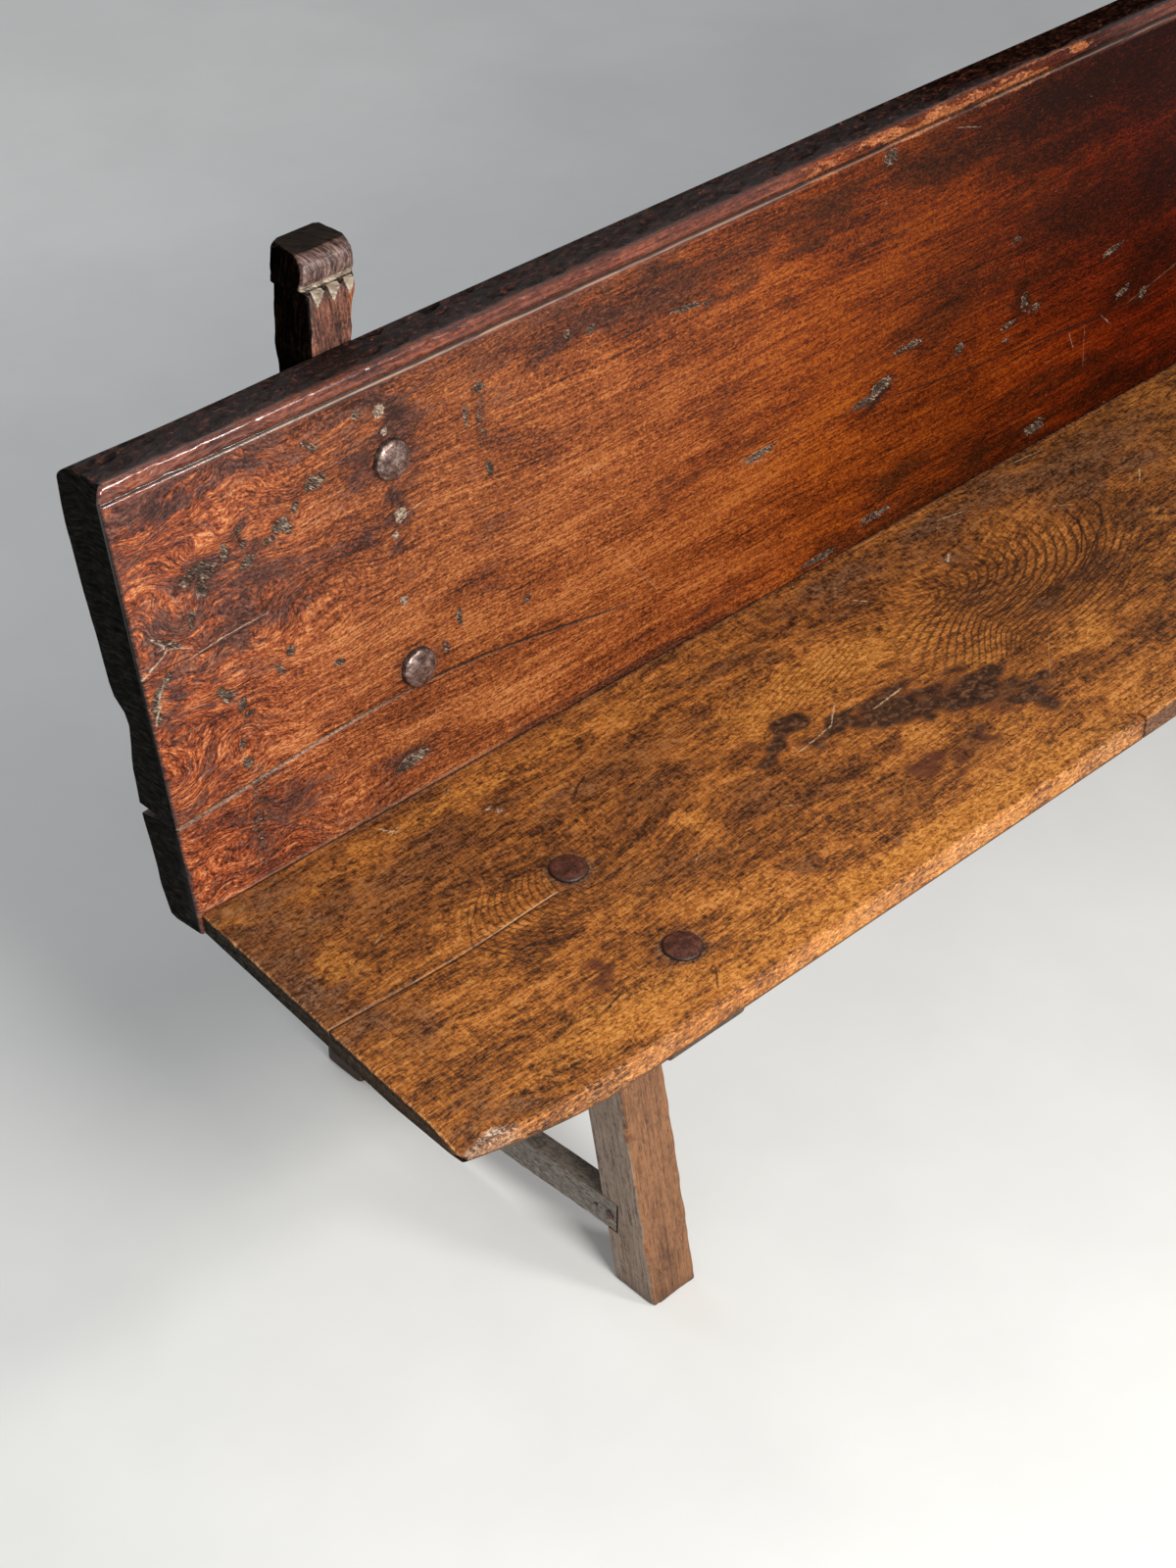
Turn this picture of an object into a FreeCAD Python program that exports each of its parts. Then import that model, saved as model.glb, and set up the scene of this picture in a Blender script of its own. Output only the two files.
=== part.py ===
import FreeCAD, Part
import math
import os

# Plank bench with a leaning back, all lengths in millimetres.
# X runs along the bench, Y from front to back, Z up from the floor.

Vector = FreeCAD.Vector
os.makedirs("parts", exist_ok=True)

# Seat board
seat_height = 450.0
seat_thickness = 28.0
seat_depth = 419.0
seat_rear_length = 2042.0
seat_end_lead = 30.6            # how far the front corner stands out past the rear corner
seat_corner_radius = 6.5
seat_sweep_run = 160.0          # the front edge curves back toward each tip
seat_sweep_setback = 20.0
seat_top_arris = 5.0
seat_lower_arris = 2.5
seat_end_bevel_rise = 7.0
seat_end_bevel_run = 55.0
seat_joint_gap = 0.2            # between the seat and the back board
seat_tip_front_run = 170.0      # worn slope under each front corner
seat_tip_end_run = 190.0
seat_tip_rise = 15.0
seat_tip_top_front_run = 60.0   # and the smaller one on top of it
seat_tip_top_end_run = 46.0
seat_tip_drop = 7.0

# Drying split in the seat, stations from the rear corner inward
seat_split_stations = (-60.0, 30.0, 104.0, 162.0, 224.0, 271.0)
seat_split_insets = (198.5, 204.5, 209.5, 209.5, 206.0, 204.5)
seat_split_widths = (2.2, 2.0, 1.8, 1.4, 1.0, 0.5)

# Repair let into the front edge of the seat
patch_start = 886.0             # from the left rear corner of the seat
patch_length = 240.0
patch_depth = 12.0
patch_gap = 0.15

# Back board, s runs up its face and t runs back from its face
recline = 6.7
back_thickness = 60.0
back_foot_thickness = 47.0
back_foot = -22.0
back_hew_start = 90.0
back_top = 455.5
back_top_round = 7.0
back_foot_round = 3.0
back_end_overhang_foot = 3.5
back_end_overhang_top = 23.0
back_corner_round = 9.0
back_end_arris = 3.0
bead_foot = 437.3
quirk_rise = 2.6
quirk_depth = 3.6
bead_crown = 0.3
bead_shoulder = 4.2

# Long split in the back board, stations from the end of the board inward
split_stations = (-40.0, 130.0, 283.0, 377.0, 524.0)
split_heights = (101.5, 110.6, 114.0, 109.3, 83.4)
split_front_widths = (2.6, 1.6, 1.3, 1.0, 0.4)
split_rear_widths = (13.0, 5.0, 3.0, 1.8, 0.4)

# Torn hollow on the rear of the left end of the back board
scar_top = 228.0
scar_pit = 208.0
scar_foot = 150.0
scar_depth = 21.0
scar_slope = 0.3

# Support frames, distances from the rear corner of the seat inward
frame_line = 280.0
bearer_width = 96.0
bearer_thickness = 46.0
bearer_front_setback = 28.0
bearer_nose = 3.0
bearer_tenon_width = 26.0
bearer_tenon_inset = 6.0
bearer_tenon_proud = 8.0

# Rear post, outer is the side toward the end of the bench
post_depth = 62.0
post_neck_depth = 59.0
post_head_depth = 51.5
post_foot_front = 92.0
post_foot_depth = 60.0
post_foot_outer = 242.0
post_foot_inner = 301.0
post_knee_outer = 250.0
post_knee_inner = 303.5
neck_foot_outer = 258.5
neck_foot_inner = 305.5
neck_top_outer = 263.5
neck_top_inner = 321.0
neck_top = 511.0
head_outer = 260.0
head_inner = 325.5
head_foot = 515.0
ledge_depth = 9.0
head_bulge = 3.0
head_bulge_height = 531.0
crown_outer = 265.0
crown_inner = 324.5
crown_front = 549.0
crown_rear = 553.5
crown_front_set = 15.5
crown_side_round = 7.0
crown_rear_round = 4.0
chip_count = 3
chip_height = 14.0
chip_depth = 8.0

# Front leg
leg_width = 59.5
leg_depth = 57.0
leg_splay = 11.6
leg_foot_front = -359.0
leg_foot_arris = 3.5
leg_tenon_width = 24.0
leg_tenon_cheek = 9.0
leg_tenon_height = 34.0

# Side stretcher, let into the outer faces of the leg and the post
stretcher_height = 40.4
stretcher_thickness = 24.0
stretcher_slope = 2.9
stretcher_front_top = 107.3
stretcher_front_lap = 17.0
stretcher_rear_lap = 34.0
stretcher_end_play = 3.2
stretcher_head_play = 3.4

# Forged nails and wooden pegs
back_nail_line = 287.0
back_nail_low = 135.1
back_nail_high = 358.3
back_nail_radius = 21.0
back_nail_dome = 9.0
back_nail_shank = 9.0
back_nail_length = 108.0
seat_nail_line = 293.0
seat_nail_rear = -188.6
seat_nail_front = -342.1
seat_nail_radius = 19.5
seat_nail_dome = 5.0
seat_nail_shank = 8.0
seat_nail_length = 62.0
nail_rim = 1.4
lap_nail_radius = 5.5
lap_nail_dome = 1.8
lap_nail_shank = 4.0
lap_nail_length = 46.0
lap_nail_rim = 0.8
nail_tip_share = 0.4
nail_sides = 20                 # hammered flats round each head
nail_bands = 4
nail_crown_angle = 74.0
shank_sides = 4
peg_radius = 4.5
peg_proud = 1.0

# Spare lengths used where a cutting shape must pass through a piece
past = 60.0
far_past = 240.0
margin = 1.0
hair = 0.01

quarter_turn = 90.0
round_middle = math.radians(quarter_turn / 2)
left_end = -seat_rear_length / 2
lean_sin = math.sin(math.radians(recline))
lean_cos = math.cos(math.radians(recline))
seat_underside = seat_height - seat_thickness
bearer_underside = seat_underside - bearer_thickness


def closed_face(points):
    return Part.Face(Part.makePolygon(list(points) + [points[0]]))


def side_prism(outline, x_from, x_to):
    # outline of (y, z) points pushed along the bench
    base = closed_face([Vector(x_from, y, z) for y, z in outline])
    return base.extrude(Vector(x_to - x_from, 0, 0))


def front_prism(outline, y_from, y_to):
    # outline of (x, z) points pushed backward
    base = closed_face([Vector(x, y_from, z) for x, z in outline])
    return base.extrude(Vector(0, y_to - y_from, 0))


def plan_prism(outline, z_from, z_to):
    # outline of (x, y) points pushed upward
    base = closed_face([Vector(x, y, z_from) for x, y in outline])
    return base.extrude(Vector(0, 0, z_to - z_from))


def block(x_from, x_to, y_from, y_to, z_from, z_to):
    corner = Vector(x_from, y_from, z_from)
    return Part.makeBox(x_to - x_from, y_to - y_from, z_to - z_from, corner)


def lean(shape):
    # from the upright working position of the back, Y as t and Z as s, to its place
    placed = shape.copy()
    placed.rotate(Vector(0, 0, 0), Vector(1, 0, 0), -recline)
    placed.translate(Vector(0, 0, seat_height))
    return placed


def lean_y(s, t):
    return s * lean_sin + t * lean_cos


def lean_z(s, t):
    return seat_height + s * lean_cos - t * lean_sin


def mirrored(shape):
    return shape.mirror(Vector(0, 0, 0), Vector(1, 0, 0))


def line(start, end):
    return Part.LineSegment(start, end).toShape()


def arc(start, middle, end):
    return Part.Arc(start, middle, end).toShape()


def edges_where(shape, test):
    return [edge for edge in shape.Edges if test(edge)]


def regular_ring(sides, reach, height):
    # corners of a regular outline, at the given reach from the axis
    turn = 2 * math.pi / sides
    angles = [turn / 2 + turn * index for index in range(sides)]
    return [Vector(reach * math.cos(angle), reach * math.sin(angle), height) for angle in angles]


def ring_solid(rings):
    # flat-sided solid through outlines that all have the same number of corners
    faces = [closed_face(rings[0]), closed_face(rings[-1])]
    for lower, upper in zip(rings, rings[1:]):
        for index in range(len(lower)):
            faces.append(closed_face([lower[index - 1], lower[index], upper[index], upper[index - 1]]))
    shell = Part.Shell(faces)
    return Part.Solid(shell)


def nail(radius, dome, rim, shank, length):
    # head on the plane z = 0 with its hammered dome upward, square shank downward
    head_rings = [regular_ring(nail_sides, radius, 0), regular_ring(nail_sides, radius, rim)]
    crown = math.radians(nail_crown_angle)
    for band in range(nail_bands):
        angle = crown * (band + 1) / nail_bands
        height = rim + (dome - rim) * math.sin(angle) / math.sin(crown)
        head_rings.append(regular_ring(nail_sides, radius * math.cos(angle), height))
    head = ring_solid(head_rings)
    corner = shank / math.sqrt(2)
    shaft = ring_solid([
        regular_ring(shank_sides, corner * nail_tip_share, -length),
        regular_ring(shank_sides, corner, -length / 2),
        regular_ring(shank_sides, corner, rim),
    ])
    return head.fuse(shaft).removeSplitter()


def peg(x_from, x_to, y, z):
    start = Vector(x_from - peg_proud, y, z)
    return Part.makeCylinder(peg_radius, x_to - x_from + 2 * peg_proud, start, Vector(1, 0, 0))


# Seat board
front_left = left_end - seat_end_lead
skew = math.atan2(seat_end_lead, seat_depth)
rear_left = left_end + seat_end_lead * past / seat_depth
tip_y = seat_sweep_setback - seat_depth
tip_x = left_end + seat_end_lead * tip_y / seat_depth
sweep_start = tip_x + seat_sweep_run
sweep_radius = (seat_sweep_run ** 2 + seat_sweep_setback ** 2) / (2 * seat_sweep_setback)
half_sweep = math.asin(seat_sweep_run / sweep_radius) / 2
sweep_middle_x = sweep_start - sweep_radius * math.sin(half_sweep)
sweep_middle_y = sweep_radius * (1 - math.cos(half_sweep)) - seat_depth
plan = Part.Wire([
    line(Vector(rear_left, past, 0), Vector(tip_x, tip_y, 0)),
    arc(
        Vector(tip_x, tip_y, 0),
        Vector(sweep_middle_x, sweep_middle_y, 0),
        Vector(sweep_start, -seat_depth, 0),
    ),
    line(Vector(sweep_start, -seat_depth, 0), Vector(-sweep_start, -seat_depth, 0)),
    arc(
        Vector(-sweep_start, -seat_depth, 0),
        Vector(-sweep_middle_x, sweep_middle_y, 0),
        Vector(-tip_x, tip_y, 0),
    ),
    line(Vector(-tip_x, tip_y, 0), Vector(-rear_left, past, 0)),
    line(Vector(-rear_left, past, 0), Vector(rear_left, past, 0)),
])
seat = Part.Face(plan).extrude(Vector(0, 0, seat_thickness))
seat.translate(Vector(0, 0, seat_underside))
front_corners = edges_where(
    seat,
    lambda edge: edge.BoundBox.DiagonalLength < seat_thickness + margin
    and edge.CenterOfMass.y < -seat_depth / 2
    and abs(edge.CenterOfMass.x) > -left_end,
)
seat = seat.makeFillet(seat_corner_radius, front_corners)
top_edges = edges_where(
    seat,
    lambda edge: edge.BoundBox.ZMin > seat_height - margin and edge.CenterOfMass.y < past / 2,
)
seat = seat.makeFillet(seat_top_arris, top_edges)
lower_edges = edges_where(
    seat,
    lambda edge: edge.BoundBox.ZMax < seat_underside + margin and edge.CenterOfMass.y < past / 2,
)
seat = seat.makeFillet(seat_lower_arris, lower_edges)
behind = lean(block(front_left, -front_left, -seat_joint_gap, far_past, -far_past, far_past))
seat = seat.cut(behind)

# The ends are planed thinner from below
bevel = front_prism(
    (
        (-past, seat_underside - past),
        (-past, seat_underside + seat_end_bevel_rise * (1 + past / seat_end_bevel_run)),
        (seat_end_bevel_run, seat_underside),
        (seat_end_bevel_run, seat_underside - past),
    ),
    -seat_depth - past,
    past,
)
bevel.rotate(Vector(0, 0, 0), Vector(0, 0, 1), -math.degrees(skew))
bevel.translate(Vector(left_end, 0, 0))
seat = seat.cut(bevel).cut(mirrored(bevel))



def tip_slope(front_run, end_run, flat_z, tip_z):
    # wide triangle that meets a flat along two runs and passes through the left tip
    front = Vector(tip_x + front_run, -seat_depth, flat_z)
    end_y = tip_y + end_run
    end = Vector(left_end + seat_end_lead * end_y / seat_depth, end_y, flat_z)
    tip = Vector(tip_x, tip_y, tip_z)
    return closed_face([
        front + (front - end),
        end + (end - front),
        tip + (tip - front) + (tip - end),
    ])


# Each front corner is worn away from below, and a little on top
under_slope = tip_slope(
    seat_tip_front_run, seat_tip_end_run, seat_underside, seat_underside + seat_tip_rise
)
top_slope = tip_slope(
    seat_tip_top_front_run, seat_tip_top_end_run, seat_height, seat_height - seat_tip_drop
)
for tip_wear in (under_slope.extrude(Vector(0, 0, -past)), top_slope.extrude(Vector(0, 0, past))):
    seat = seat.cut(tip_wear).cut(mirrored(tip_wear))

# Drying split from the left end to the rear nail
front_side = []
rear_side = []
for station, inset, width in zip(seat_split_stations, seat_split_insets, seat_split_widths):
    front_side.append((left_end + station, -inset - width / 2))
    rear_side.append((left_end + station, -inset + width / 2))
seat_split = plan_prism(
    front_side + rear_side[::-1], seat_underside - past, seat_height + past
)
seat = seat.cut(seat_split)

# Repair strip in the front edge
patch_left = left_end + patch_start
patch_right = patch_left + patch_length
patch_rear = patch_depth - seat_depth
recess = block(
    patch_left, patch_right, -seat_depth - past, patch_rear, seat_underside - past, seat_height + past
)
filling = block(
    patch_left + patch_gap,
    patch_right - patch_gap,
    -seat_depth - past,
    patch_rear - patch_gap,
    seat_underside - past,
    seat_height + past,
)
seat_edge_patch = seat.common(filling)
seat = seat.cut(recess)

# Back board, section across its length
section = Part.Wire([
    line(Vector(0, 0, back_foot), Vector(0, 0, bead_foot)),
    line(Vector(0, 0, bead_foot), Vector(0, quirk_depth, bead_foot + quirk_rise)),
    arc(
        Vector(0, quirk_depth, bead_foot + quirk_rise),
        Vector(0, bead_crown, (bead_foot + quirk_rise + back_top) / 2),
        Vector(0, bead_shoulder, back_top),
    ),
    line(Vector(0, bead_shoulder, back_top), Vector(0, back_thickness - back_top_round, back_top)),
    arc(
        Vector(0, back_thickness - back_top_round, back_top),
        Vector(
            0,
            back_thickness - back_top_round * (1 - math.sin(round_middle)),
            back_top - back_top_round * (1 - math.cos(round_middle)),
        ),
        Vector(0, back_thickness, back_top - back_top_round),
    ),
    line(Vector(0, back_thickness, back_top - back_top_round), Vector(0, back_thickness, back_hew_start)),
    line(
        Vector(0, back_thickness, back_hew_start),
        Vector(0, back_foot_thickness, back_foot + back_foot_round),
    ),
    line(
        Vector(0, back_foot_thickness, back_foot + back_foot_round),
        Vector(0, back_foot_thickness - back_foot_round, back_foot),
    ),
    line(Vector(0, back_foot_thickness - back_foot_round, back_foot), Vector(0, 0, back_foot)),
])
back_span = left_end - back_end_overhang_top
back = Part.Face(section).extrude(Vector(-2 * back_span, 0, 0))
back.translate(Vector(back_span, 0, 0))
foot_end = left_end - back_end_overhang_foot
top_end = left_end - back_end_overhang_top
outline = front_prism(
    ((foot_end, back_foot), (top_end, back_top), (-top_end, back_top), (-foot_end, back_foot)),
    -past,
    2 * past,
)
outline_corners = edges_where(
    outline,
    lambda edge: edge.BoundBox.ZMin > back_top - margin and edge.BoundBox.XLength < margin,
)
outline = outline.makeFillet(back_corner_round, outline_corners)
back = back.common(outline)
end_edges = edges_where(
    back,
    lambda edge: edge.BoundBox.YMax < margin and edge.BoundBox.ZLength > back_top / 2,
)
back = back.makeFillet(back_end_arris, end_edges)

sections = []
for station, height, front_width, rear_width in zip(
    split_stations, split_heights, split_front_widths, split_rear_widths
):
    x = left_end + station
    ring = [
        Vector(x, -margin, height - front_width / 2),
        Vector(x, back_thickness + margin, height - rear_width / 2),
        Vector(x, back_thickness + margin, height + rear_width / 2),
        Vector(x, -margin, height + front_width / 2),
    ]
    sections.append(Part.makePolygon(ring + [ring[0]]))
back = back.cut(Part.makeLoft(sections, True, True))

scar_face = closed_face([
    Vector(top_end - margin, back_thickness - scar_depth, scar_pit),
    Vector(top_end - margin, back_thickness + margin, scar_top),
    Vector(top_end - margin, back_thickness + margin, scar_foot),
])
scar_run = (scar_depth + 2 * margin) / scar_slope
back = back.cut(scar_face.extrude(Vector(scar_run, scar_run * scar_slope, 0)))
back = lean(back)

# Rear post, lower part from the floor to the knee behind the seat
post_rear = back_thickness + post_depth
knee_front = (lean_y(0, back_thickness), lean_z(0, back_thickness))
knee_rear = (lean_y(0, post_rear), lean_z(0, post_rear))


def post_front_at(z):
    return post_foot_front + (knee_front[0] - post_foot_front) * z / knee_front[1]


def post_rear_at(z):
    foot = post_foot_front + post_foot_depth
    return foot + (knee_rear[0] - foot) * z / knee_rear[1]


def post_outer_at(z):
    return left_end + post_foot_outer + (post_knee_outer - post_foot_outer) * z / knee_front[1]


def post_inner_at(z):
    return left_end + post_foot_inner + (post_knee_inner - post_foot_inner) * z / knee_front[1]


def ring_between(outer, inner, front, rear):
    corners = [
        Vector(outer, front[0], front[1]),
        Vector(inner, front[0], front[1]),
        Vector(inner, rear[0], rear[1]),
        Vector(outer, rear[0], rear[1]),
    ]
    return Part.makePolygon(corners + [corners[0]])


post_lower = Part.makeLoft(
    [
        ring_between(
            left_end + post_foot_outer,
            left_end + post_foot_inner,
            (post_foot_front, 0),
            (post_foot_front + post_foot_depth, 0),
        ),
        ring_between(left_end + post_knee_outer, left_end + post_knee_inner, knee_front, knee_rear),
    ],
    True,
    True,
)
foot_edges = edges_where(post_lower, lambda edge: edge.BoundBox.ZMax < margin)
post_lower = post_lower.makeFillet(leg_foot_arris, foot_edges)

# Upper part with the carved head, drawn upright and then leaned
head_front = back_thickness + ledge_depth
neck_rear = back_thickness + post_neck_depth
head_rear = back_thickness + post_head_depth
crown_front_edge = Vector(0, back_thickness + crown_front_set, crown_front)
crown_rear_edge = Vector(0, head_rear - crown_rear_round, crown_rear)
crown_rear_side = Vector(0, head_rear, crown_rear - crown_rear_round)
crown_rear_middle = Vector(
    0,
    head_rear - crown_rear_round * (1 - math.sin(round_middle)),
    crown_rear - crown_rear_round * (1 - math.cos(round_middle)),
)
side = Part.Wire([
    line(Vector(0, back_thickness, 0), Vector(0, back_thickness, neck_top)),
    line(Vector(0, back_thickness, neck_top), Vector(0, head_front, head_foot)),
    arc(
        Vector(0, head_front, head_foot),
        Vector(0, back_thickness + head_bulge, head_bulge_height),
        crown_front_edge,
    ),
    line(crown_front_edge, crown_rear_edge),
    arc(crown_rear_edge, crown_rear_middle, crown_rear_side),
    line(crown_rear_side, Vector(0, neck_rear, back_top)),
    line(Vector(0, neck_rear, back_top), Vector(0, post_rear, 0)),
    line(Vector(0, post_rear, 0), Vector(0, back_thickness, 0)),
])
post_upper = Part.Face(side).extrude(Vector(2 * past + head_inner - head_outer, 0, 0))
post_upper.translate(Vector(left_end + head_outer - past, 0, 0))
post_outline = front_prism(
    [
        (left_end + post_knee_outer, 0),
        (left_end + neck_foot_outer, back_top),
        (left_end + neck_top_outer, neck_top),
        (left_end + head_outer, head_foot),
        (left_end + crown_outer, crown_rear),
        (left_end + crown_inner, crown_rear),
        (left_end + head_inner, head_foot),
        (left_end + neck_top_inner, neck_top),
        (left_end + neck_foot_inner, back_top),
        (left_end + post_knee_inner, 0),
    ],
    0,
    post_rear + past,
)
crown_corners = edges_where(
    post_outline,
    lambda edge: edge.BoundBox.ZMin > crown_rear - margin and edge.BoundBox.XLength < margin,
)
post_outline = post_outline.makeFillet(crown_side_round, crown_corners)
post_upper = post_upper.common(post_outline)

# Row of chip cuts along the top edge of the neck
chip_pitch = (neck_top_inner - neck_top_outer) / chip_count
for index in range(chip_count):
    middle = left_end + neck_top_outer + chip_pitch * index + chip_pitch / 2
    rise = neck_top + (head_foot - neck_top) * chip_depth / ledge_depth
    left_point = Vector(middle - chip_pitch / 2, back_thickness - hair, neck_top + hair)
    right_point = Vector(middle + chip_pitch / 2, back_thickness - hair, neck_top + hair)
    low_point = Vector(middle, back_thickness - hair, neck_top - chip_height)
    deep_point = Vector(middle, back_thickness + chip_depth, rise + hair)
    facets = (
        (left_point, right_point, low_point),
        (left_point, deep_point, right_point),
        (left_point, low_point, deep_point),
        (right_point, deep_point, low_point),
    )
    chip = Part.Solid(Part.Shell([closed_face(facet) for facet in facets]))
    post_upper = post_upper.cut(chip)

post = post_lower.fuse(lean(post_upper)).removeSplitter()

# Seat bearer, tenoned through the post
frame_x = left_end + frame_line
bearer_front = bearer_front_setback - seat_depth
bearer = side_prism(
    (
        (bearer_front, seat_underside),
        (bearer_front, bearer_underside + bearer_nose),
        (bearer_front + bearer_nose, bearer_underside),
        (post_front_at(bearer_underside), bearer_underside),
        (post_front_at(seat_underside), seat_underside),
    ),
    frame_x - bearer_width / 2,
    frame_x + bearer_width / 2,
)
tenon_low = bearer_underside + bearer_tenon_inset
tenon_high = seat_underside - bearer_tenon_inset
bearer_tenon = side_prism(
    (
        (post_front_at(tenon_low), tenon_low),
        (post_rear_at(tenon_low) + bearer_tenon_proud, tenon_low),
        (post_rear_at(tenon_low) + bearer_tenon_proud, tenon_high),
        (post_front_at(tenon_high), tenon_high),
    ),
    frame_x - bearer_tenon_width / 2,
    frame_x + bearer_tenon_width / 2,
)
bearer = bearer.fuse(bearer_tenon).removeSplitter()
post = post.cut(bearer_tenon)
peg_z = (tenon_low + tenon_high) / 2
peg_y = (post_front_at(peg_z) + post_rear_at(peg_z)) / 2
bearer_peg = peg(post_outer_at(peg_z), post_inner_at(peg_z), peg_y, peg_z)
bearer = bearer.cut(bearer_peg)
post = post.cut(bearer_peg)

# Front leg, tenoned into the underside of the bearer
splay = math.tan(math.radians(leg_splay))


def leg_front_at(z):
    return leg_foot_front + z * splay


leg = side_prism(
    (
        (leg_front_at(0), 0),
        (leg_front_at(0) + leg_depth, 0),
        (leg_front_at(bearer_underside) + leg_depth, bearer_underside),
        (leg_front_at(bearer_underside), bearer_underside),
    ),
    frame_x - leg_width / 2,
    frame_x + leg_width / 2,
)
leg_foot_edges = edges_where(leg, lambda edge: edge.BoundBox.ZMax < margin)
leg = leg.makeFillet(leg_foot_arris, leg_foot_edges)
leg_tenon_top = bearer_underside + leg_tenon_height
leg_tenon = side_prism(
    (
        (leg_front_at(bearer_underside) + leg_tenon_cheek, bearer_underside),
        (leg_front_at(bearer_underside) + leg_depth - leg_tenon_cheek, bearer_underside),
        (leg_front_at(leg_tenon_top) + leg_depth - leg_tenon_cheek, leg_tenon_top),
        (leg_front_at(leg_tenon_top) + leg_tenon_cheek, leg_tenon_top),
    ),
    frame_x - leg_tenon_width / 2,
    frame_x + leg_tenon_width / 2,
)
leg = leg.fuse(leg_tenon).removeSplitter()
bearer = bearer.cut(leg_tenon)
leg_peg_z = bearer_underside + leg_tenon_height / 2
leg_peg_y = leg_front_at(leg_peg_z) + leg_depth / 2
leg_peg = peg(frame_x - bearer_width / 2, frame_x + bearer_width / 2, leg_peg_y, leg_peg_z)
leg = leg.cut(leg_peg)
bearer = bearer.cut(leg_peg)

# Side stretcher
fall = math.tan(math.radians(stretcher_slope))
outer_face = frame_x - leg_width / 2
stretcher_mid = stretcher_front_top - stretcher_height / 2
lap_front = leg_front_at(stretcher_mid) + leg_depth - stretcher_front_lap
lap_rear = post_front_at(stretcher_mid) + stretcher_rear_lap


def stretcher_top_at(y):
    return stretcher_front_top - (y - lap_front) * fall


def stretcher_bar(y_from, y_to, head_play):
    bar = side_prism(
        (
            (y_from, stretcher_top_at(y_from) - stretcher_height),
            (y_to, stretcher_top_at(y_to) - stretcher_height),
            (y_to, stretcher_top_at(y_to) + head_play),
            (y_from, stretcher_top_at(y_from)),
        ),
        outer_face,
        outer_face + stretcher_thickness,
    )
    drift = outer_face - post_outer_at(stretcher_mid)
    turn = math.degrees(math.atan2(drift, lap_rear - lap_front))
    bar.rotate(Vector(outer_face, lap_front, 0), Vector(0, 0, 1), turn)
    return bar


def stretcher_housing(y_from, y_to, head_play):
    seated = stretcher_bar(y_from, y_to, head_play)
    outward = seated.copy()
    outward.translate(Vector(-stretcher_thickness / 2, 0, 0))
    return seated.fuse(outward)


stretcher = stretcher_bar(lap_front, lap_rear, 0)
leg = leg.cut(stretcher_housing(lap_front - stretcher_end_play, lap_front + past, stretcher_head_play))
post = post.cut(stretcher_housing(lap_rear - 2 * past, lap_rear, 0))

# Nails
back_nail = nail(back_nail_radius, back_nail_dome, nail_rim, back_nail_shank, back_nail_length)
back_nail.rotate(Vector(0, 0, 0), Vector(1, 0, 0), quarter_turn)
back_nails = []
for height in (back_nail_low, back_nail_high):
    placed = back_nail.copy()
    placed.translate(Vector(left_end + back_nail_line, 0, height))
    back_nails.append(lean(placed))
left_back_nails = Part.makeCompound(back_nails)

seat_nail = nail(seat_nail_radius, seat_nail_dome, nail_rim, seat_nail_shank, seat_nail_length)
seat_nails = []
for reach in (seat_nail_rear, seat_nail_front):
    placed = seat_nail.copy()
    placed.translate(Vector(left_end + seat_nail_line, reach, seat_height))
    seat_nails.append(placed)
left_seat_nails = Part.makeCompound(seat_nails)


def lap_nail(x, y):
    fastener = nail(lap_nail_radius, lap_nail_dome, lap_nail_rim, lap_nail_shank, lap_nail_length)
    fastener.rotate(Vector(0, 0, 0), Vector(0, 1, 0), -quarter_turn)
    fastener.translate(Vector(x, y, stretcher_top_at(y) - stretcher_height / 2))
    return fastener


front_nail_y = lap_front + stretcher_front_lap / 2
rear_nail_y = lap_rear - stretcher_rear_lap / 2


def stretcher_face_at(y):
    drift = outer_face - post_outer_at(stretcher_mid)
    return outer_face - drift * (y - lap_front) / (lap_rear - lap_front)


front_lap_nail = lap_nail(stretcher_face_at(front_nail_y), front_nail_y)
rear_lap_nail = lap_nail(stretcher_face_at(rear_nail_y), rear_nail_y)

back = back.cut(left_back_nails).cut(mirrored(left_back_nails))
post = post.cut(left_back_nails)
seat = seat.cut(left_seat_nails).cut(mirrored(left_seat_nails))
bearer = bearer.cut(left_seat_nails)
stretcher = stretcher.cut(front_lap_nail).cut(rear_lap_nail)
leg = leg.cut(front_lap_nail)
post = post.cut(rear_lap_nail)

# Every piece is moved so that the bench is centred over its own footprint
neck_reach = lean_y(back_top, neck_rear)
crown_reach = lean_y(crown_rear - crown_rear_round, head_rear - crown_rear_round) + crown_rear_round
rear_reach = max(neck_reach, crown_reach)
centre_shift = Vector(0, (seat_depth - rear_reach) / 2, 0)


def save(shape, name):
    placed = shape.copy()
    placed.translate(centre_shift)
    placed.exportStep("parts/" + name + ".step")


save(seat, "seat_board")
save(seat_edge_patch, "seat_edge_patch")
save(back, "back_board")
paired = {
    "rear_post": post,
    "front_leg": leg,
    "seat_bearer": bearer,
    "side_stretcher": stretcher,
    "back_nails": left_back_nails,
    "seat_nails": left_seat_nails,
    "front_stretcher_nail": front_lap_nail,
    "rear_stretcher_nail": rear_lap_nail,
    "bearer_peg": bearer_peg,
    "leg_peg": leg_peg,
}
for name, shape in paired.items():
    save(shape, "left_" + name)
    save(mirrored(shape), "right_" + name)
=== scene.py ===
import math

import bpy
import bmesh
import numpy as np
from mathutils import Euler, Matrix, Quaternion, Vector


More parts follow.
